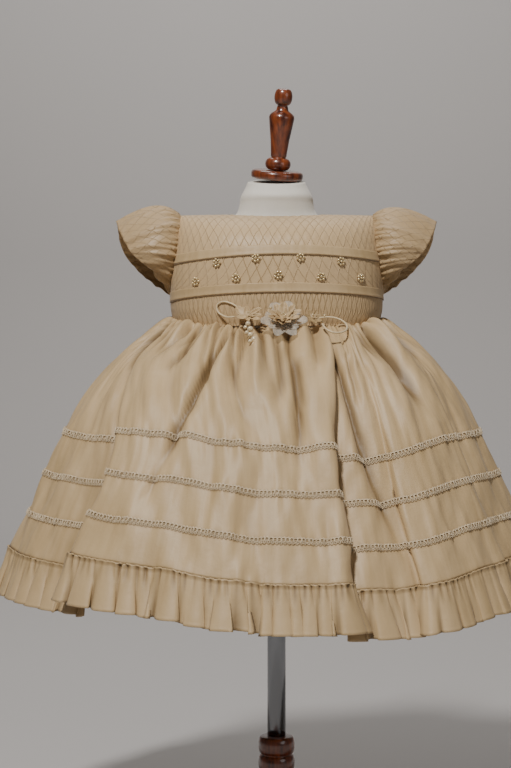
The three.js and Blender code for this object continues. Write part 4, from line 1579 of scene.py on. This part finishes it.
@dataclass
class Ruffle:
    """The gathered ruffle on the skirt's lower edge, with a rolled hem and a corded seam."""

    skirt: Skirt
    depth: float = 40.5
    flare: float = 0.34
    flute: float = 3.4
    below: float = -0.8
    spacing: float = 1.5
    rows: int = 22
    cloth: float = 0.6
    cut: tuple[float, float] = (2.6, 0.044)  # the strip as cut, in metres

    def build(self, satin: bpy.types.Material) -> None:
        """Make the ruffle."""
        skirt = self.skirt
        places = skirt.columns_between(0, len(skirt.lines), self.spacing)[:-1]
        full = skirt.full
        top = skirt.surface(places, np.full_like(places, full))
        around = np.interp(places, skirt.places, skirt.run)
        total = skirt.run[-1]
        ahead, behind = np.roll(top, -1, 0), np.roll(top, 1, 0)
        tangent = ahead - behind
        tangent[:, 2] = 0
        tangent /= np.linalg.norm(tangent, axis=1, keepdims=True)
        facing = np.stack([tangent[:, 1], -tangent[:, 0], np.zeros(len(places))], 1)
        dice = np.random.default_rng(8)
        widths = dice.uniform(8, 23, int(total / 15.5))
        edges = np.concatenate([[0], np.cumsum(widths)]) * total / widths.sum()
        phase = np.interp(around, edges, np.arange(len(edges)))
        middles = (edges[1:] + edges[:-1]) / 2
        sizes = np.interp(around, middles, dice.uniform(0.55, 1.3, len(widths)), period=total)
        starts = np.interp(around, middles, dice.uniform(0.0, 0.3, len(widths)), period=total)
        share = np.linspace(0, 1, self.rows) ** 1.1
        small = wobble(around, 0, total, (3.6, 6.5), 51)
        crest = 1 - np.abs(2 * (phase % 1) - 1) ** 2.4
        slide = np.sin(2 * np.pi * phase)
        s = share[None, :]
        grown = ease((s - starts[:, None]) / (1 - starts[:, None])) * 0.45 + 0.55 * s**0.8
        out = (
            0.9
            + self.depth * self.flare * s
            + self.flute * sizes[:, None] * (1.9 * crest[:, None] - 1.1) * grown
        )
        near_seam = np.exp(-(((s - 0.1) / 0.24) ** 2)) * ease(s / 0.04)
        out = out + 1.3 * small[:, None] * near_seam
        out = (
            out
            + 1.0 * np.exp(-((s * self.depth / 1.1) ** 2))
            + 0.4 * np.exp(-(((1 - s) * self.depth / 1.0) ** 2))
        )
        grid = top[:, None, :] + facing[:, None, :] * out[..., None]
        grid = (
            grid + tangent[:, None, :] * (3.0 * sizes[:, None] * (crest - slide)[:, None] * grown)[..., None]
        )
        hang = self.below + self.depth * s + 0.4 * ((crest - 0.5) * sizes)[:, None] * s
        grid[..., 2] -= hang
        flat = np.stack(np.broadcast_arrays(around[:, None], -full - self.depth * s), -1)
        # painted shade: darker in the hollows between flutes and among the small gathers by the seam
        shade = 0.95 * ease((0.66 - crest[:, None]) / 0.6) * grown + 0.75 * ease(-small[:, None]) * near_seam
        # painted shadow: a dark line just under the corded seam
        shade = shade + 0.55 * np.exp(-(((s * self.depth - 2.2) / 1.3) ** 2))
        piece = shell("ruffle_cloth", grid, self.cloth, flat, True, shade)
        dress(piece, satin, "satin", "ruffle")


# ---------------------------------------------------------------------------- dress form and stand
class FormRing(NamedTuple):
    """Ring of the form: half width, depth of front and back, and height at side, front and back."""

    wide: float
    front: float
    back: float
    side: float
    fore: float
    aft: float


FORM_RINGS = (
    FormRing(62, 48, 46, 440, 440, 440),
    FormRing(82, 64, 60, 446, 446, 446),
    FormRing(91, 71, 66, 470, 470, 470),
    FormRing(94, 72, 68, 505, 505, 505),
    FormRing(98.5, 76, 72, 545, 545, 545),
    FormRing(101.5, 78.5, 74, 580, 575, 575),
    FormRing(100.5, 75.5, 72, 606, 600, 600),
    FormRing(99, 66, 65, 621, 615.5, 616),
    FormRing(96.5, 54, 56, 628, 622.5, 622.5),
    FormRing(91, 44.5, 46, 631.5, 626.5, 626.5),
    FormRing(78, 40, 38, 632.6, 628.4, 629),
    FormRing(62, 37.5, 34, 633.2, 629.4, 630.6),
    FormRing(47, 33.5, 30, 634.4, 632, 632),
    FormRing(40, 32.5, 30.5, 640, 638.5, 640),
    FormRing(37, 33.5, 32, 648.5, 648, 651),
    FormRing(36, 35, 34.5, 656, 654, 658),
    FormRing(31.5, 31.5, 31.5, 665, 660, 670),
    FormRing(28.6, 28.6, 28.6, 672, 665.9, 678.1),
)


@dataclass
class DressForm:
    """The padded torso with its leaning neck, covered in cotton."""

    rings: Sequence[FormRing] = FORM_RINGS
    segments: int = 120
    between: int = 4  # rings added between two of the table

    def build(self, cotton: bpy.types.Material) -> None:
        """Make the torso."""
        keys = np.arange(len(self.rings), dtype=float)
        fine = np.linspace(0, keys[-1], (len(self.rings) - 1) * self.between + 1)
        table = {name: through(fine, keys, column(self.rings, name)) for name in FormRing._fields}
        turn = np.linspace(-np.pi, np.pi, self.segments, endpoint=False)
        front = np.cos(turn) > 0
        rings = []
        for k in range(len(fine)):
            deep = np.where(front, table["front"][k], table["back"][k])
            x, y = section_point(table["wide"][k], deep, turn)
            sharp = mix(2.0, 1.0, ease((fine[k] - 15) / 2))
            outward = np.abs(np.cos(turn)) ** sharp
            z = mix(table["side"][k], np.where(front, table["fore"][k], table["aft"][k]), outward)
            rings.append(np.stack([x, y, z], 1))
        count = self.segments
        points = np.concatenate([*rings, [rings[0].mean(0)], [rings[-1].mean(0)]])
        faces = []
        for k in range(len(rings) - 1):
            for n in range(count):
                m = (n + 1) % count
                faces.append([k * count + n, k * count + m, (k + 1) * count + m, (k + 1) * count + n])
        last = (len(rings) - 1) * count
        for n in range(count):
            m = (n + 1) % count
            faces.append([len(points) - 2, m, n])
            faces.append([len(points) - 1, last + n, last + m])
        body = make_object("form_body_cover", points, faces)
        dress(body, cotton, "form_cover", "form_body")


def bead_profile(radius: float, low: float, high: float, root: float) -> list[tuple[float, float]]:
    """Profile of a round bead of a turned piece.

    Args:
        radius: greatest radius.
        low: height at which it starts.
        high: height at which it ends.
        root: radius where it starts and ends.

    Returns:
        Radius and height of each point.
    """
    turn = np.linspace(0, np.pi, 13)
    return [
        (root + (radius - root) * math.sin(t), (low + high) / 2 - (high - low) / 2 * math.cos(t))
        for t in turn
    ]


@dataclass
class Stand:
    """The stand: turned base and column, tube pole, and the cap and finial over the neck."""

    base_radius: float = 118.0
    base_height: float = 22.0
    pole_radius: float = 9.2
    pole_top: float = 439.7
    neck_tilt: float = 12.0
    finial_lean: float = 4.5
    neck_z: float = 672.0
    gap: float = 0.3
    column_height: float = 96.5

    def place_top(self, piece: bpy.types.Object) -> None:
        """Lean a piece with the neck and lift it there."""
        tilt, lean = math.radians(self.neck_tilt), math.radians(self.finial_lean)
        about_x = np.array(
            [[1, 0, 0], [0, math.cos(tilt), -math.sin(tilt)], [0, math.sin(tilt), math.cos(tilt)]]
        )
        about_y = np.array(
            [[math.cos(lean), 0, math.sin(lean)], [0, 1, 0], [-math.sin(lean), 0, math.cos(lean)]]
        )
        pose = about_x @ about_y
        for vertex in piece.data.vertices:
            vertex.co = pose @ np.array(vertex.co) + np.array([0, 0, self.neck_z * MM])

    def build(self, wood: bpy.types.Material, chrome: bpy.types.Material) -> None:
        """Make the stand.

        Args:
            wood: finish of the turned pieces.
            chrome: finish of the pole.
        """
        r, h = self.base_radius, self.base_height
        base = turned(
            "stand_base_turning",
            [
                (0, 0), (r - 2, 0), (r - 0.6, 1), (r, 3), (r, 10), (r - 1.2, 12.4), (r - 5, 14),
                (r - 11, 14.6), (r - 12, 15.2), (60, 19), (45, 20.6), (34, h), (0, h),
            ],
            128,
        )
        dress(base, wood, "wood", "stand_base")
        foot = h + self.gap
        low = soft_profile(
            [
                (0, foot), (26, foot), (27, foot + 3), (25, foot + 7), (17, foot + 11), (14.5, foot + 20),
                (16, foot + 34), (20, foot + 46), (19, foot + 52), (15.6, foot + 57), (0, foot + 57),
            ]
        )
        stem = [
            *low[:-1],
            *bead_profile(18.2, foot + 61, foot + 78, 15.6),
            *bead_profile(18.2, foot + 79, foot + 96, 15.6),
            (self.pole_radius + 1, foot + self.column_height),
            (0, foot + self.column_height),
        ]
        dress(turned("stand_column_turning", stem), wood, "wood", "stand_column")
        start = foot + self.column_height + self.gap
        pole = turned(
            "pole_tube",
            [
                (0, start), (self.pole_radius - 0.3, start), (self.pole_radius, start + 0.4),
                (self.pole_radius, self.pole_top - 0.4), (self.pole_radius - 0.3, self.pole_top),
                (0, self.pole_top),
            ],
        )
        dress(pole, chrome, "chrome", "pole")
        lift = 2.8
        cap = turned(
            "neck_cap_turning",
            [
                (0, lift), (24, lift), (25.4, lift + 0.8), (26, lift + 2.5), (26, lift + 5.6),
                (25.2, lift + 7.4), (23.5, lift + 8.5), (0, lift + 8.5),
            ],
        )
        self.place_top(cap)
        dress(cap, wood, "wood", "neck_cap")
        seat = lift + 8.5 + self.gap
        shaft = [
            (8, seat + 14), (8.2, seat + 18), (9.5, seat + 30), (11.3, seat + 42), (12.7, seat + 52),
            (12.2, seat + 54), (10.6, seat + 56), (7, seat + 58.4), (6, seat + 59.5), (5.5, seat + 62),
        ]
        finial = turned(
            "finial_turning",
            [
                (0, seat),
                *bead_profile(12.8, seat, seat + 12.5, 7),
                *shaft,
                *bead_profile(9, seat + 64, seat + 80, 5)[:-1],
                (0, seat + 80.5),
            ],
            64,
        )
        self.place_top(finial)
        dress(finial, wood, "wood", "finial")


# ---------------------------------------------------------------------------- repeats
def new_tree(name: str, sizes: dict[str, float]) -> tuple[bpy.types.NodeTree, bpy.types.Node, bpy.types.Node]:
    """Start a geometry tree with named inputs.

    Args:
        name: of the tree.
        sizes: its inputs for sizes, with their values in metres.

    Returns:
        The tree, its input node and its output node.
    """
    tree = bpy.data.node_groups.new(name, "GeometryNodeTree")
    tree.interface.new_socket("Geometry", in_out="INPUT", socket_type="NodeSocketGeometry")
    for key, value in sizes.items():
        socket = tree.interface.new_socket(key, in_out="INPUT", socket_type="NodeSocketFloat")
        socket.default_value = value
    tree.interface.new_socket("Geometry", in_out="OUTPUT", socket_type="NodeSocketGeometry")
    return tree, tree.nodes.new("NodeGroupInput"), tree.nodes.new("NodeGroupOutput")


def bake(thing: bpy.types.Object, tree: bpy.types.NodeTree, sizes: dict[str, float]) -> bpy.types.Object:
    """Run a geometry tree on an object and keep the result as a plain mesh.

    Args:
        thing: object that the tree works on.
        tree: the geometry tree.
        sizes: inputs that differ from the tree's own.

    Returns:
        The object, with its new mesh and no modifier.
    """
    modifier = thing.modifiers.new("repeat", "NODES")
    modifier.node_group = tree
    for item in tree.interface.items_tree:
        if item.in_out == "INPUT" and item.name in sizes:
            modifier[item.identifier] = sizes[item.name]
    depsgraph = bpy.context.evaluated_depsgraph_get()
    result = bpy.data.meshes.new_from_object(thing.evaluated_get(depsgraph))
    thing.modifiers.remove(modifier)
    old = thing.data
    thing.data = result
    result.name = thing.name
    bpy.data.meshes.remove(old)
    return thing


class Row(NamedTuple):
    """One line of a trimming: its points and the way each faces, and the size of its loops."""

    points: Grid
    facing: Grid
    size: float


def guide(name: str, rows: Sequence[Row], closed: bool) -> bpy.types.Object:
    """Make lines of edges that carry the way their trimming faces.

    Args:
        name: of the object.
        rows: the lines, in millimetres.
        closed: whether each line joins up.

    Returns:
        The object.
    """
    mesh = bpy.data.meshes.new(name)
    edges: list[tuple[int, int]] = []
    start = 0
    for row in rows:
        count = len(row.points)
        edges += (
            [(start + n, start + n + 1) for n in range(count - 1)]
            + ([(start + count - 1, start)] if closed else [])
        )
        start += count
    mesh.from_pydata((np.concatenate([row.points for row in rows]) * MM).tolist(), edges, [])
    facing = np.concatenate([row.facing for row in rows]).astype(np.float32)
    mesh.attributes.new("facing", "FLOAT_VECTOR", "POINT").data.foreach_set("vector", facing.reshape(-1))
    sizes = np.concatenate([np.full(len(row.points), row.size) for row in rows]).astype(np.float32)
    mesh.attributes.new("size", "FLOAT", "POINT").data.foreach_set("value", sizes)
    thing = bpy.data.objects.new(name, mesh)
    bpy.context.scene.collection.objects.link(thing)
    return thing


def loop_row_tree(material: bpy.types.Material) -> bpy.types.NodeTree:
    """Tree that sews small thread loops along a line, over a flat core of cord.

    Args:
        material: finish of the loops.

    Returns:
        The tree, with inputs Spacing, Loop, Thread and Core. A loop is scaled by its point's
        "size".
    """
    tree, entry, exit_node = new_tree(
        "loops along a line", {"Spacing": 3.5 * MM, "Loop": 1.8 * MM, "Thread": 0.5 * MM, "Core": 0.2 * MM}
    )
    line = add_node(tree, "GeometryNodeMeshToCurve", links={"Mesh": entry.outputs["Geometry"]})
    evenly = add_node(
        tree,
        "GeometryNodeResampleCurve",
        links={"Curve": line.outputs[0], "Length": entry.outputs["Spacing"]},
        mode="LENGTH",
    )
    facing = add_node(tree, "GeometryNodeInputNamedAttribute", {"Name": "facing"}, data_type="FLOAT_VECTOR")
    along = add_node(tree, "GeometryNodeInputTangent")
    pose = add_node(
        tree,
        "FunctionNodeAxesToRotation",
        links={"Primary Axis": facing.outputs["Attribute"], "Secondary Axis": along.outputs[0]},
        primary_axis="Z",
        secondary_axis="X",
    )
    size = add_node(tree, "GeometryNodeInputNamedAttribute", {"Name": "size"}, data_type="FLOAT")
    ring_line = add_node(
        tree,
        "GeometryNodeCurvePrimitiveCircle",
        {"Resolution": 8},
        {"Radius": entry.outputs["Loop"]},
        mode="RADIUS",
    )
    section = add_node(
        tree,
        "GeometryNodeCurvePrimitiveCircle",
        {"Resolution": 3},
        {"Radius": entry.outputs["Thread"]},
        mode="RADIUS",
    )
    ring = add_node(
        tree,
        "GeometryNodeCurveToMesh",
        links={"Curve": ring_line.outputs[0], "Profile Curve": section.outputs[0]},
    )
    placed = add_node(
        tree,
        "GeometryNodeInstanceOnPoints",
        links={
            "Points": evenly.outputs[0],
            "Instance": ring.outputs[0],
            "Rotation": pose.outputs[0],
            "Scale": size.outputs["Attribute"],
        },
    )
    real = add_node(tree, "GeometryNodeRealizeInstances", links={0: placed.outputs[0]})
    core_section = add_node(
        tree,
        "GeometryNodeCurvePrimitiveCircle",
        {"Resolution": 5},
        {"Radius": entry.outputs["Core"]},
        mode="RADIUS",
    )
    core = add_node(
        tree,
        "GeometryNodeCurveToMesh",
        links={"Curve": evenly.outputs[0], "Profile Curve": core_section.outputs[0]},
    )
    both = add_node(tree, "GeometryNodeJoinGeometry")
    tree.links.new(real.outputs[0], both.inputs[0])
    tree.links.new(core.outputs[0], both.inputs[0])
    smooth = add_node(tree, "GeometryNodeSetShadeSmooth", links={"Geometry": both.outputs[0]})
    finished = add_node(
        tree, "GeometryNodeSetMaterial", {"Material": material}, {"Geometry": smooth.outputs[0]}
    )
    tree.links.new(finished.outputs[0], exit_node.inputs[0])
    return tree


def bead_tree(material: bpy.types.Material) -> bpy.types.NodeTree:
    """Tree that puts a bead on every point, sized by the point's "size" attribute.

    Args:
        material: finish of the beads.

    Returns:
        The tree, with the input Bead, a radius for a size of 1.
    """
    tree, entry, exit_node = new_tree("bead on each point", {"Bead": 1.0 * MM})
    bead = add_node(tree, "GeometryNodeMeshIcoSphere", {"Subdivisions": 2}, {"Radius": entry.outputs["Bead"]})
    size = add_node(tree, "GeometryNodeInputNamedAttribute", {"Name": "size"}, data_type="FLOAT")
    placed = add_node(
        tree,
        "GeometryNodeInstanceOnPoints",
        links={
            "Points": entry.outputs["Geometry"],
            "Instance": bead.outputs["Mesh"],
            "Scale": size.outputs["Attribute"],
        },
    )
    real = add_node(tree, "GeometryNodeRealizeInstances", links={0: placed.outputs[0]})
    smooth = add_node(tree, "GeometryNodeSetShadeSmooth", links={"Geometry": real.outputs[0]})
    finished = add_node(
        tree, "GeometryNodeSetMaterial", {"Material": material}, {"Geometry": smooth.outputs[0]}
    )
    tree.links.new(finished.outputs[0], exit_node.inputs[0])
    return tree


def beads(
    name: str,
    points: Sequence[Sequence[float]],
    sizes: Sequence[float],
    tree: bpy.types.NodeTree,
    radius: float = 1.0,
) -> bpy.types.Object:
    """Make a cluster of beads.

    Args:
        name: of the object.
        points: middles of the beads, in millimetres.
        sizes: their radii as multiples of the tree's bead.
        tree: the bead tree.
        radius: radius for a size of 1, in millimetres.

    Returns:
        The object.
    """
    mesh = bpy.data.meshes.new(name)
    mesh.from_pydata((np.array(points, float) * MM).tolist(), [], [])
    mesh.attributes.new("size", "FLOAT", "POINT").data.foreach_set("value", list(sizes))
    thing = bpy.data.objects.new(name, mesh)
    bpy.context.scene.collection.objects.link(thing)
    return bake(thing, tree, {"Bead": radius * MM})


@dataclass
class Trimmings:
    """Braids on the skirt, picot edges under the tucks, and bead flowers on the middle tier."""

    bodice: Bodice
    skirt: Skirt
    flower_radius: float = 3.15
    bead_radius: float = 1.4
    flowers: Sequence[tuple[float, float]] = (
        (-77.8, 568.1), (-57.6, 585.1), (-39.2, 570.2), (-20.6, 588.9), (0.6, 572.9), (21.5, 589.5),
        (41.0, 571.5), (60.0, 586.5), (79.3, 571.5),
    )  # across and up

    def build_braids(self, thread: bpy.types.Material) -> None:
        """Make the three rows of scalloped braid."""
        tree = loop_row_tree(thread)
        places = self.skirt.columns_between(0, len(self.skirt.lines), 1.6)[:-1]
        for name, middle in zip(("braid_upper", "braid_middle", "braid_lower"), self.skirt.braid_cloth):
            rows = []
            for offset, size in ((-2.0, 0.42), (0.1, 1.0), (2.9, 0.62)):
                at = middle + offset
                strip = self.skirt.surface(*np.meshgrid(places, [at - 1, at, at + 1], indexing="ij"))
                facing = normals(strip, True)[:, 1]
                rows.append(Row(strip[:, 1] + facing * 1.1, facing, size))
            piece = bake(guide(name + "_gimp", rows, True), tree, {})
            dress(piece, thread, "braid", name)

    def build_picots(self, thread: bpy.types.Material) -> None:
        """Make the row of tiny loops under each folded tuck, coloured dark as painted shadow."""
        tree = loop_row_tree(thread)
        shares = self.bodice.shares(Side.FRONT, 240) * 0.99
        for name, z in (("picot_lower", self.bodice.lower_tuck_z), ("picot_upper", self.bodice.upper_tuck_z)):
            heights = self.bodice.tuck(z, shares) - 0.9
            grid = np.stack(
                [
                    self.bodice.point(Side.FRONT, heights + k, shares * self.bodice.edge(Side.FRONT, heights))
                    for k in (1, 0, -1)
                ],
                1,
            )
            facing = normals(grid)[:, 1]
            sizes = {"Spacing": 2.1 * MM, "Loop": 0.75 * MM, "Thread": 0.26 * MM, "Core": 0.3 * MM}
            piece = bake(guide(name, [Row(grid[:, 1] + facing * 1.0, facing, 1.0)], False), tree, sizes)
            dress(piece, thread, "cord")

    def build_flowers(self, gold: bpy.types.Material) -> None:
        """Make the little flowers, each of seven beads round one."""
        tree = bead_tree(gold)
        for n, (x, z) in enumerate(self.flowers, 1):
            share = abs(x) / float(self.bodice.width_at(z))
            turn = math.copysign(math.asin(share ** (SECTION_POWER / 2)), x) + np.array([-0.01, 0, 0.01])
            grid = np.stack([self.bodice.point(Side.FRONT, np.full(3, z + k), turn) for k in (1, 0, -1)], 1)
            out = normals(grid)[1, 1]
            across = grid[2, 1] - grid[0, 1]
            across /= np.linalg.norm(across)
            up = np.cross(out, across)
            seat = grid[1, 1] + out * 1.3
            ring = [
                seat + self.flower_radius * (across * math.cos(t) + up * math.sin(t))
                for t in np.linspace(0, 2 * np.pi, 7, endpoint=False)
            ]
            piece = beads(
                f"bead_flower_{n}_beads", [seat + out * 0.5, *ring], [1.0] * 8, tree, self.bead_radius
            )
            dress(piece, gold, "bead", f"bead_flower_{n}")


# ---------------------------------------------------------------------------- spray at the waist
class Petal(NamedTuple):
    """Petal: which way it points round its flower, length, width, how far it lifts, and its cup."""

    turn: float
    length: float
    width: float
    lift: float
    cup: float


@dataclass
class Spray:
    """The spray at the waist: cloth flowers, a drop of pearls and two loops of cord."""

    cord: float = 1.8
    loop_left: Sequence[tuple[float, float, float]] = (
        (-35.4, 540.6, 2.2), (-39.3, 543.6, 1.9), (-44.7, 546.5, 1.7), (-51.4, 548.1, 1.7),
        (-56.7, 545.9, 1.7), (-57.8, 542.1, 1.8), (-55.6, 537.2, 3), (-49.1, 533.6, 6), (-45.2, 533, 8),
        (-40.6, 533.4, 9.5),
    )
    loop_right: Sequence[tuple[float, float, float]] = (
        (39, 532, 6), (44.5, 533.2, 6), (51, 533, 9), (58.5, 531, 14), (64, 526.5, 24), (64, 521, 33),
        (58, 517.8, 39), (50, 518, 39), (44, 521.5, 34), (41.5, 526, 26),
    )
    drop: Sequence[tuple[float, float, float, float]] = (
        (-28, -101.3, 526.0, 2.2), (-30.5, -104, 522.6, 1.7), (-25.8, -107, 520.8, 2.6),
        (-29, -110, 517.4, 1.9), (-25.6, -114.5, 515.4, 2.3), (-22.4, -118.5, 511.0, 2.5),
        (-26, -120.5, 509.2, 1.7), (-22.8, -122.5, 506.4, 1.6),
    )

    def petals(
        self,
        name: str,
        centre: tuple[float, float, float],
        lean: float,
        side: float,
        rows: Sequence[Petal],
        thickness: float = 0.35,
    ) -> bpy.types.Object:
        """Make one flower from its petals.

        Args:
            name: of the object.
            centre: middle of the flower.
            lean: how far it faces up, in degrees.
            side: how far it faces towards +X, in degrees.
            rows: its petals.
            thickness: of the cloth.

        Returns:
            The object.
        """
        up, turn = math.radians(lean), math.radians(side)
        out = np.array([math.cos(up) * math.sin(turn), -math.cos(up) * math.cos(turn), math.sin(up)])
        right = np.array([math.cos(turn), math.sin(turn), 0])
        high = np.cross(out, right)
        points: list[np.ndarray] = []
        faces: list[list[int]] = []
        across_steps, along_steps = 9, 10
        for n, petal in enumerate(rows):
            angle = math.radians(petal.turn)
            way = right * math.sin(angle) + high * math.cos(angle)
            aside = np.cross(out, way)
            grid = np.zeros((across_steps, along_steps, 3))
            for i, s in enumerate(np.linspace(-1, 1, across_steps)):
                for j, t in enumerate(np.linspace(0, 1, along_steps)):
                    half = petal.width / 2 * math.sin(math.pi * (0.08 + 0.84 * t) ** 0.9) ** 0.7
                    raised = (
                        petal.lift * t**1.4
                        + petal.cup * (s * s - 0.4) * math.sin(math.pi * t)
                        + 0.5 * math.sin(3 * s + 5 * t + n)
                    )
                    grid[i, j] = (
                        np.array(centre)
                        + way * petal.length * t
                        + aside * half * s
                        + out * (raised + 0.4 * n / len(rows))
                    )
            inner = grid - out * thickness
            points.append(grid.reshape(-1, 3))
            points.append(inner.reshape(-1, 3))
            layer = across_steps * along_steps
            base = sum(len(p) for p in points[:-2])
            for i in range(across_steps - 1):
                for j in range(along_steps - 1):
                    a = base + i * along_steps + j
                    b, c, d = a + 1, a + along_steps + 1, a + along_steps
                    faces += [[a, b, c, d], [a + layer, d + layer, c + layer, b + layer]]
                a, d = base + i * along_steps, base + (i + 1) * along_steps
                faces.append([a, d, d + layer, a + layer])
                e, f = a + along_steps - 1, d + along_steps - 1
                faces.append([e, e + layer, f + layer, f])
            for j in range(along_steps - 1):
                a = base + j
                faces.append([a, a + layer, a + 1 + layer, a + 1])
                e = base + (across_steps - 1) * along_steps + j
                faces.append([e, e + 1, e + 1 + layer, e + layer])
        flower = make_object(name, np.concatenate(points), faces)
        chart = flower.data.uv_layers.new(name="Cloth")
        for corner in flower.data.loops:
            p = flower.data.vertices[corner.vertex_index].co
            chart.data[corner.index].uv = (p.x, p.z)
        mesh = bmesh.new()
        mesh.from_mesh(flower.data)
        bmesh.ops.recalc_face_normals(mesh, faces=mesh.faces)
        mesh.to_mesh(flower.data)
        mesh.free()
        return flower

    def front_y(self, x: float, z: float, bodice: Bodice) -> float:
        """Front of the bodice at this place across and up; below the waist it is the waist's own."""
        high = max(z, bodice.waist_z)
        wide, deep = float(bodice.width_at(high)), float(bodice.depth_at(Side.FRONT, high))
        return -deep * (1 - (abs(x) / wide) ** SECTION_POWER) ** (1 / SECTION_POWER)

    def build_loop(
        self, name: str, route: Sequence[tuple[float, float, float]], bodice: Bodice, cord: bpy.types.Material
    ) -> None:
        """Make one loop of cord.

        Args:
            name: CAD node that it stands for.
            route: across, up, and how far in front of the bodice.
            bodice: the bodice behind it.
            cord: its finish.
        """
        path = np.array([[x, self.front_y(x, z, bodice) - out, z] for x, z, out in route])
        rich: list[np.ndarray] = []
        for k in range(len(path) - 1):
            p0, p1, p2, p3 = path[max(k - 1, 0)], path[k], path[k + 1], path[min(k + 2, len(path) - 1)]
            for t in np.linspace(0, 1, 5, endpoint=False):
                start, end = (p2 - p0) / 2, (p3 - p1) / 2
                rich.append(
                    ((2 * (p1 - p2) + start + end) * t - 3 * (p1 - p2) - 2 * start - end) * t * t
                    + start * t
                    + p1
                )
        rich.append(path[-1])
        curve = bpy.data.curves.new(name + "_line", "CURVE")
        curve.dimensions = "3D"
        curve.bevel_depth = self.cord / 2 * MM
        curve.bevel_resolution = 3
        curve.use_fill_caps = True
        spline = curve.splines.new("POLY")
        spline.points.add(len(rich) - 1)
        for point, place in zip(spline.points, rich):
            point.co = (*(place * MM), 1)
        thing = bpy.data.objects.new(name + "_line", curve)
        bpy.context.scene.collection.objects.link(thing)
        dress(thing, cord, "cord", name)

    def build(
        self,
        bodice: Bodice,
        satin: bpy.types.Material,
        shaded: bpy.types.Material,
        organza: bpy.types.Material,
        pearl: bpy.types.Material,
        gold: bpy.types.Material,
        cord: bpy.types.Material,
    ) -> None:
        """Make the whole spray.

        Args:
            bodice: the bodice behind it.
            satin: finish of the large flower's petals.
            shaded: finish of the small dark flower.
            organza: finish of the sheer petals.
            pearl: finish of the pearls.
            gold: finish of the small beads.
            cord: finish of the loops.
        """
        self.build_loop("cord_loop_left", self.loop_left, bodice, cord)
        self.build_loop("cord_loop_right", self.loop_right, bodice, cord)
        sheer = [
            Petal(a, l, w, 2.5, 2.4)
            for a, l, w in (
                (-95, 21, 14), (-62, 18, 12), (55, 19, 13), (88, 23, 15), (128, 17, 11), (152, 22, 13),
                (-162, 21, 13), (-128, 16, 12), (-22, 23, 17), (16, 24, 18),
            )
        ]
        piece = self.petals("spray_organza_petals", (4.5, -97.0, 528.5), 40, 2, sheer)
        dress(piece, organza, "organza", "spray_organza")
        large = [
            Petal(a, l, w, 5.5, 2.4)
            for a, l, w in (
                (-30, 15, 9), (2, 16, 10), (40, 17, 7), (68, 18, 6), (98, 15, 6), (150, 11, 7),
                (-170, 12, 8), (-130, 12, 7), (-98, 15, 6), (-68, 16, 6),
            )
        ]
        inner = [Petal(a, 9, 4, 6, 1.2) for a in (15, 60, 118, -170, -120, -50)]
        piece = self.petals("spray_flower_petals", (5.0, -99.2, 531.0), 40, 2, [*large, *inner])
        dress(piece, satin, "satin", "spray_flower")
        left = [
            Petal(a, l, w, 3.5, 1.6)
            for a, l, w in (
                (-52, 14, 9), (-10, 10, 6), (58, 15, 5), (92, 14, 4), (118, 14, 5), (-115, 10, 6), (165, 9, 5)
            )
        ]
        piece = self.petals("spray_left_petals", (-28.5, -90.5, 533.5), 38, -8, left)
        dress(piece, satin, "satin", "spray_left")
        right = [
            Petal(a, l, w, 3, 1.0)
            for a, l, w in (
                (-80, 9, 4), (-30, 9, 4), (25, 9, 4), (75, 8, 4), (130, 9, 5), (-140, 8, 5), (180, 9, 5)
            )
        ]
        piece = self.petals("spray_right_petals", (33.5, -87.5, 531.8), 38, 12, right)
        dress(piece, shaded, "satin", "spray_right")
        tree = bead_tree(pearl)
        drop = beads("pearl_drop_pearls", [p[:3] for p in self.drop], [1.15 * p[3] for p in self.drop], tree)
        dress(drop, pearl, "pearl", "pearl_drop")
        hearts = beads(
            "spray_hearts",
            [
                (5, -104.5, 536), (3.4, -104.8, 534.8), (6.4, -104.6, 534.8), (5, -105.5, 533.4),
                (-7, -98.5, 541), (-28, -95, 537), (33, -92, 535), (44, -86.5, 534.5), (41, -88, 528.5),
            ],
            [1.0, 0.9, 0.9, 0.9, 1.5, 1.1, 1.1, 1.3, 1.1],
            bead_tree(gold),
        )
        dress(hearts, gold, "bead")


# ---------------------------------------------------------------------------- main
def main() -> None:
    """Build the gown, the form, the stand and the studio."""
    logging.basicConfig(level=logging.INFO, format="%(name)s: %(message)s")
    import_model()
    studio = Studio()
    studio.build_camera()
    satin = Satin().build()
    tucked = TuckedSatin().build()
    faint = TuckedSatin(
        name="faintly tucked satin", line="#a58a62", wide_mm=8.0, high_mm=15.0, fold=0.06, depth=0.6
    ).build()
    pleated = TuckedSatin(
        name="closely tucked satin", line="#a3865c", wide_mm=5.0, high_mm=26.0, wander_mm=2.2, fold=0.16
    ).build()
    bodice, skirt = Bodice(), Skirt()
    Spray().build(
        bodice,
        satin,
        Satin(name="shaded satin", colour="#ab9068", deep="#94794f").build(),
        Organza().build(),
        Pearl("pearl bead", "#cfb88c", 0.15).build(),
        Pearl("gold pearl bead", "#cdb27a", 0.35).build(),
        Thread("twisted rayon cord", "#dac297", 1.2, 0.5).build(),
    )
    DressForm().build(FormCotton().build())
    Stand().build(VarnishedWood().build(), ChromedTube().build())
    bodice.build(tucked, pleated, satin)
    Sleeves(bodice).build(faint)
    skirt.build(satin)
    Ruffle(skirt).build(satin)
    trims = Trimmings(bodice, skirt)
    trims.build_braids(Thread("cotton braid", "#dfc8a2").build())
    # the picot loops are real; their dark colour is painted shadow under each tuck
    trims.build_picots(Thread("picot thread", "#8a6c45", 0.8).build())
    trims.build_flowers(Pearl("small gold bead", "#c8ab72", 0.4).build())
    studio.build_set()


if __name__ == "__main__":
    main()
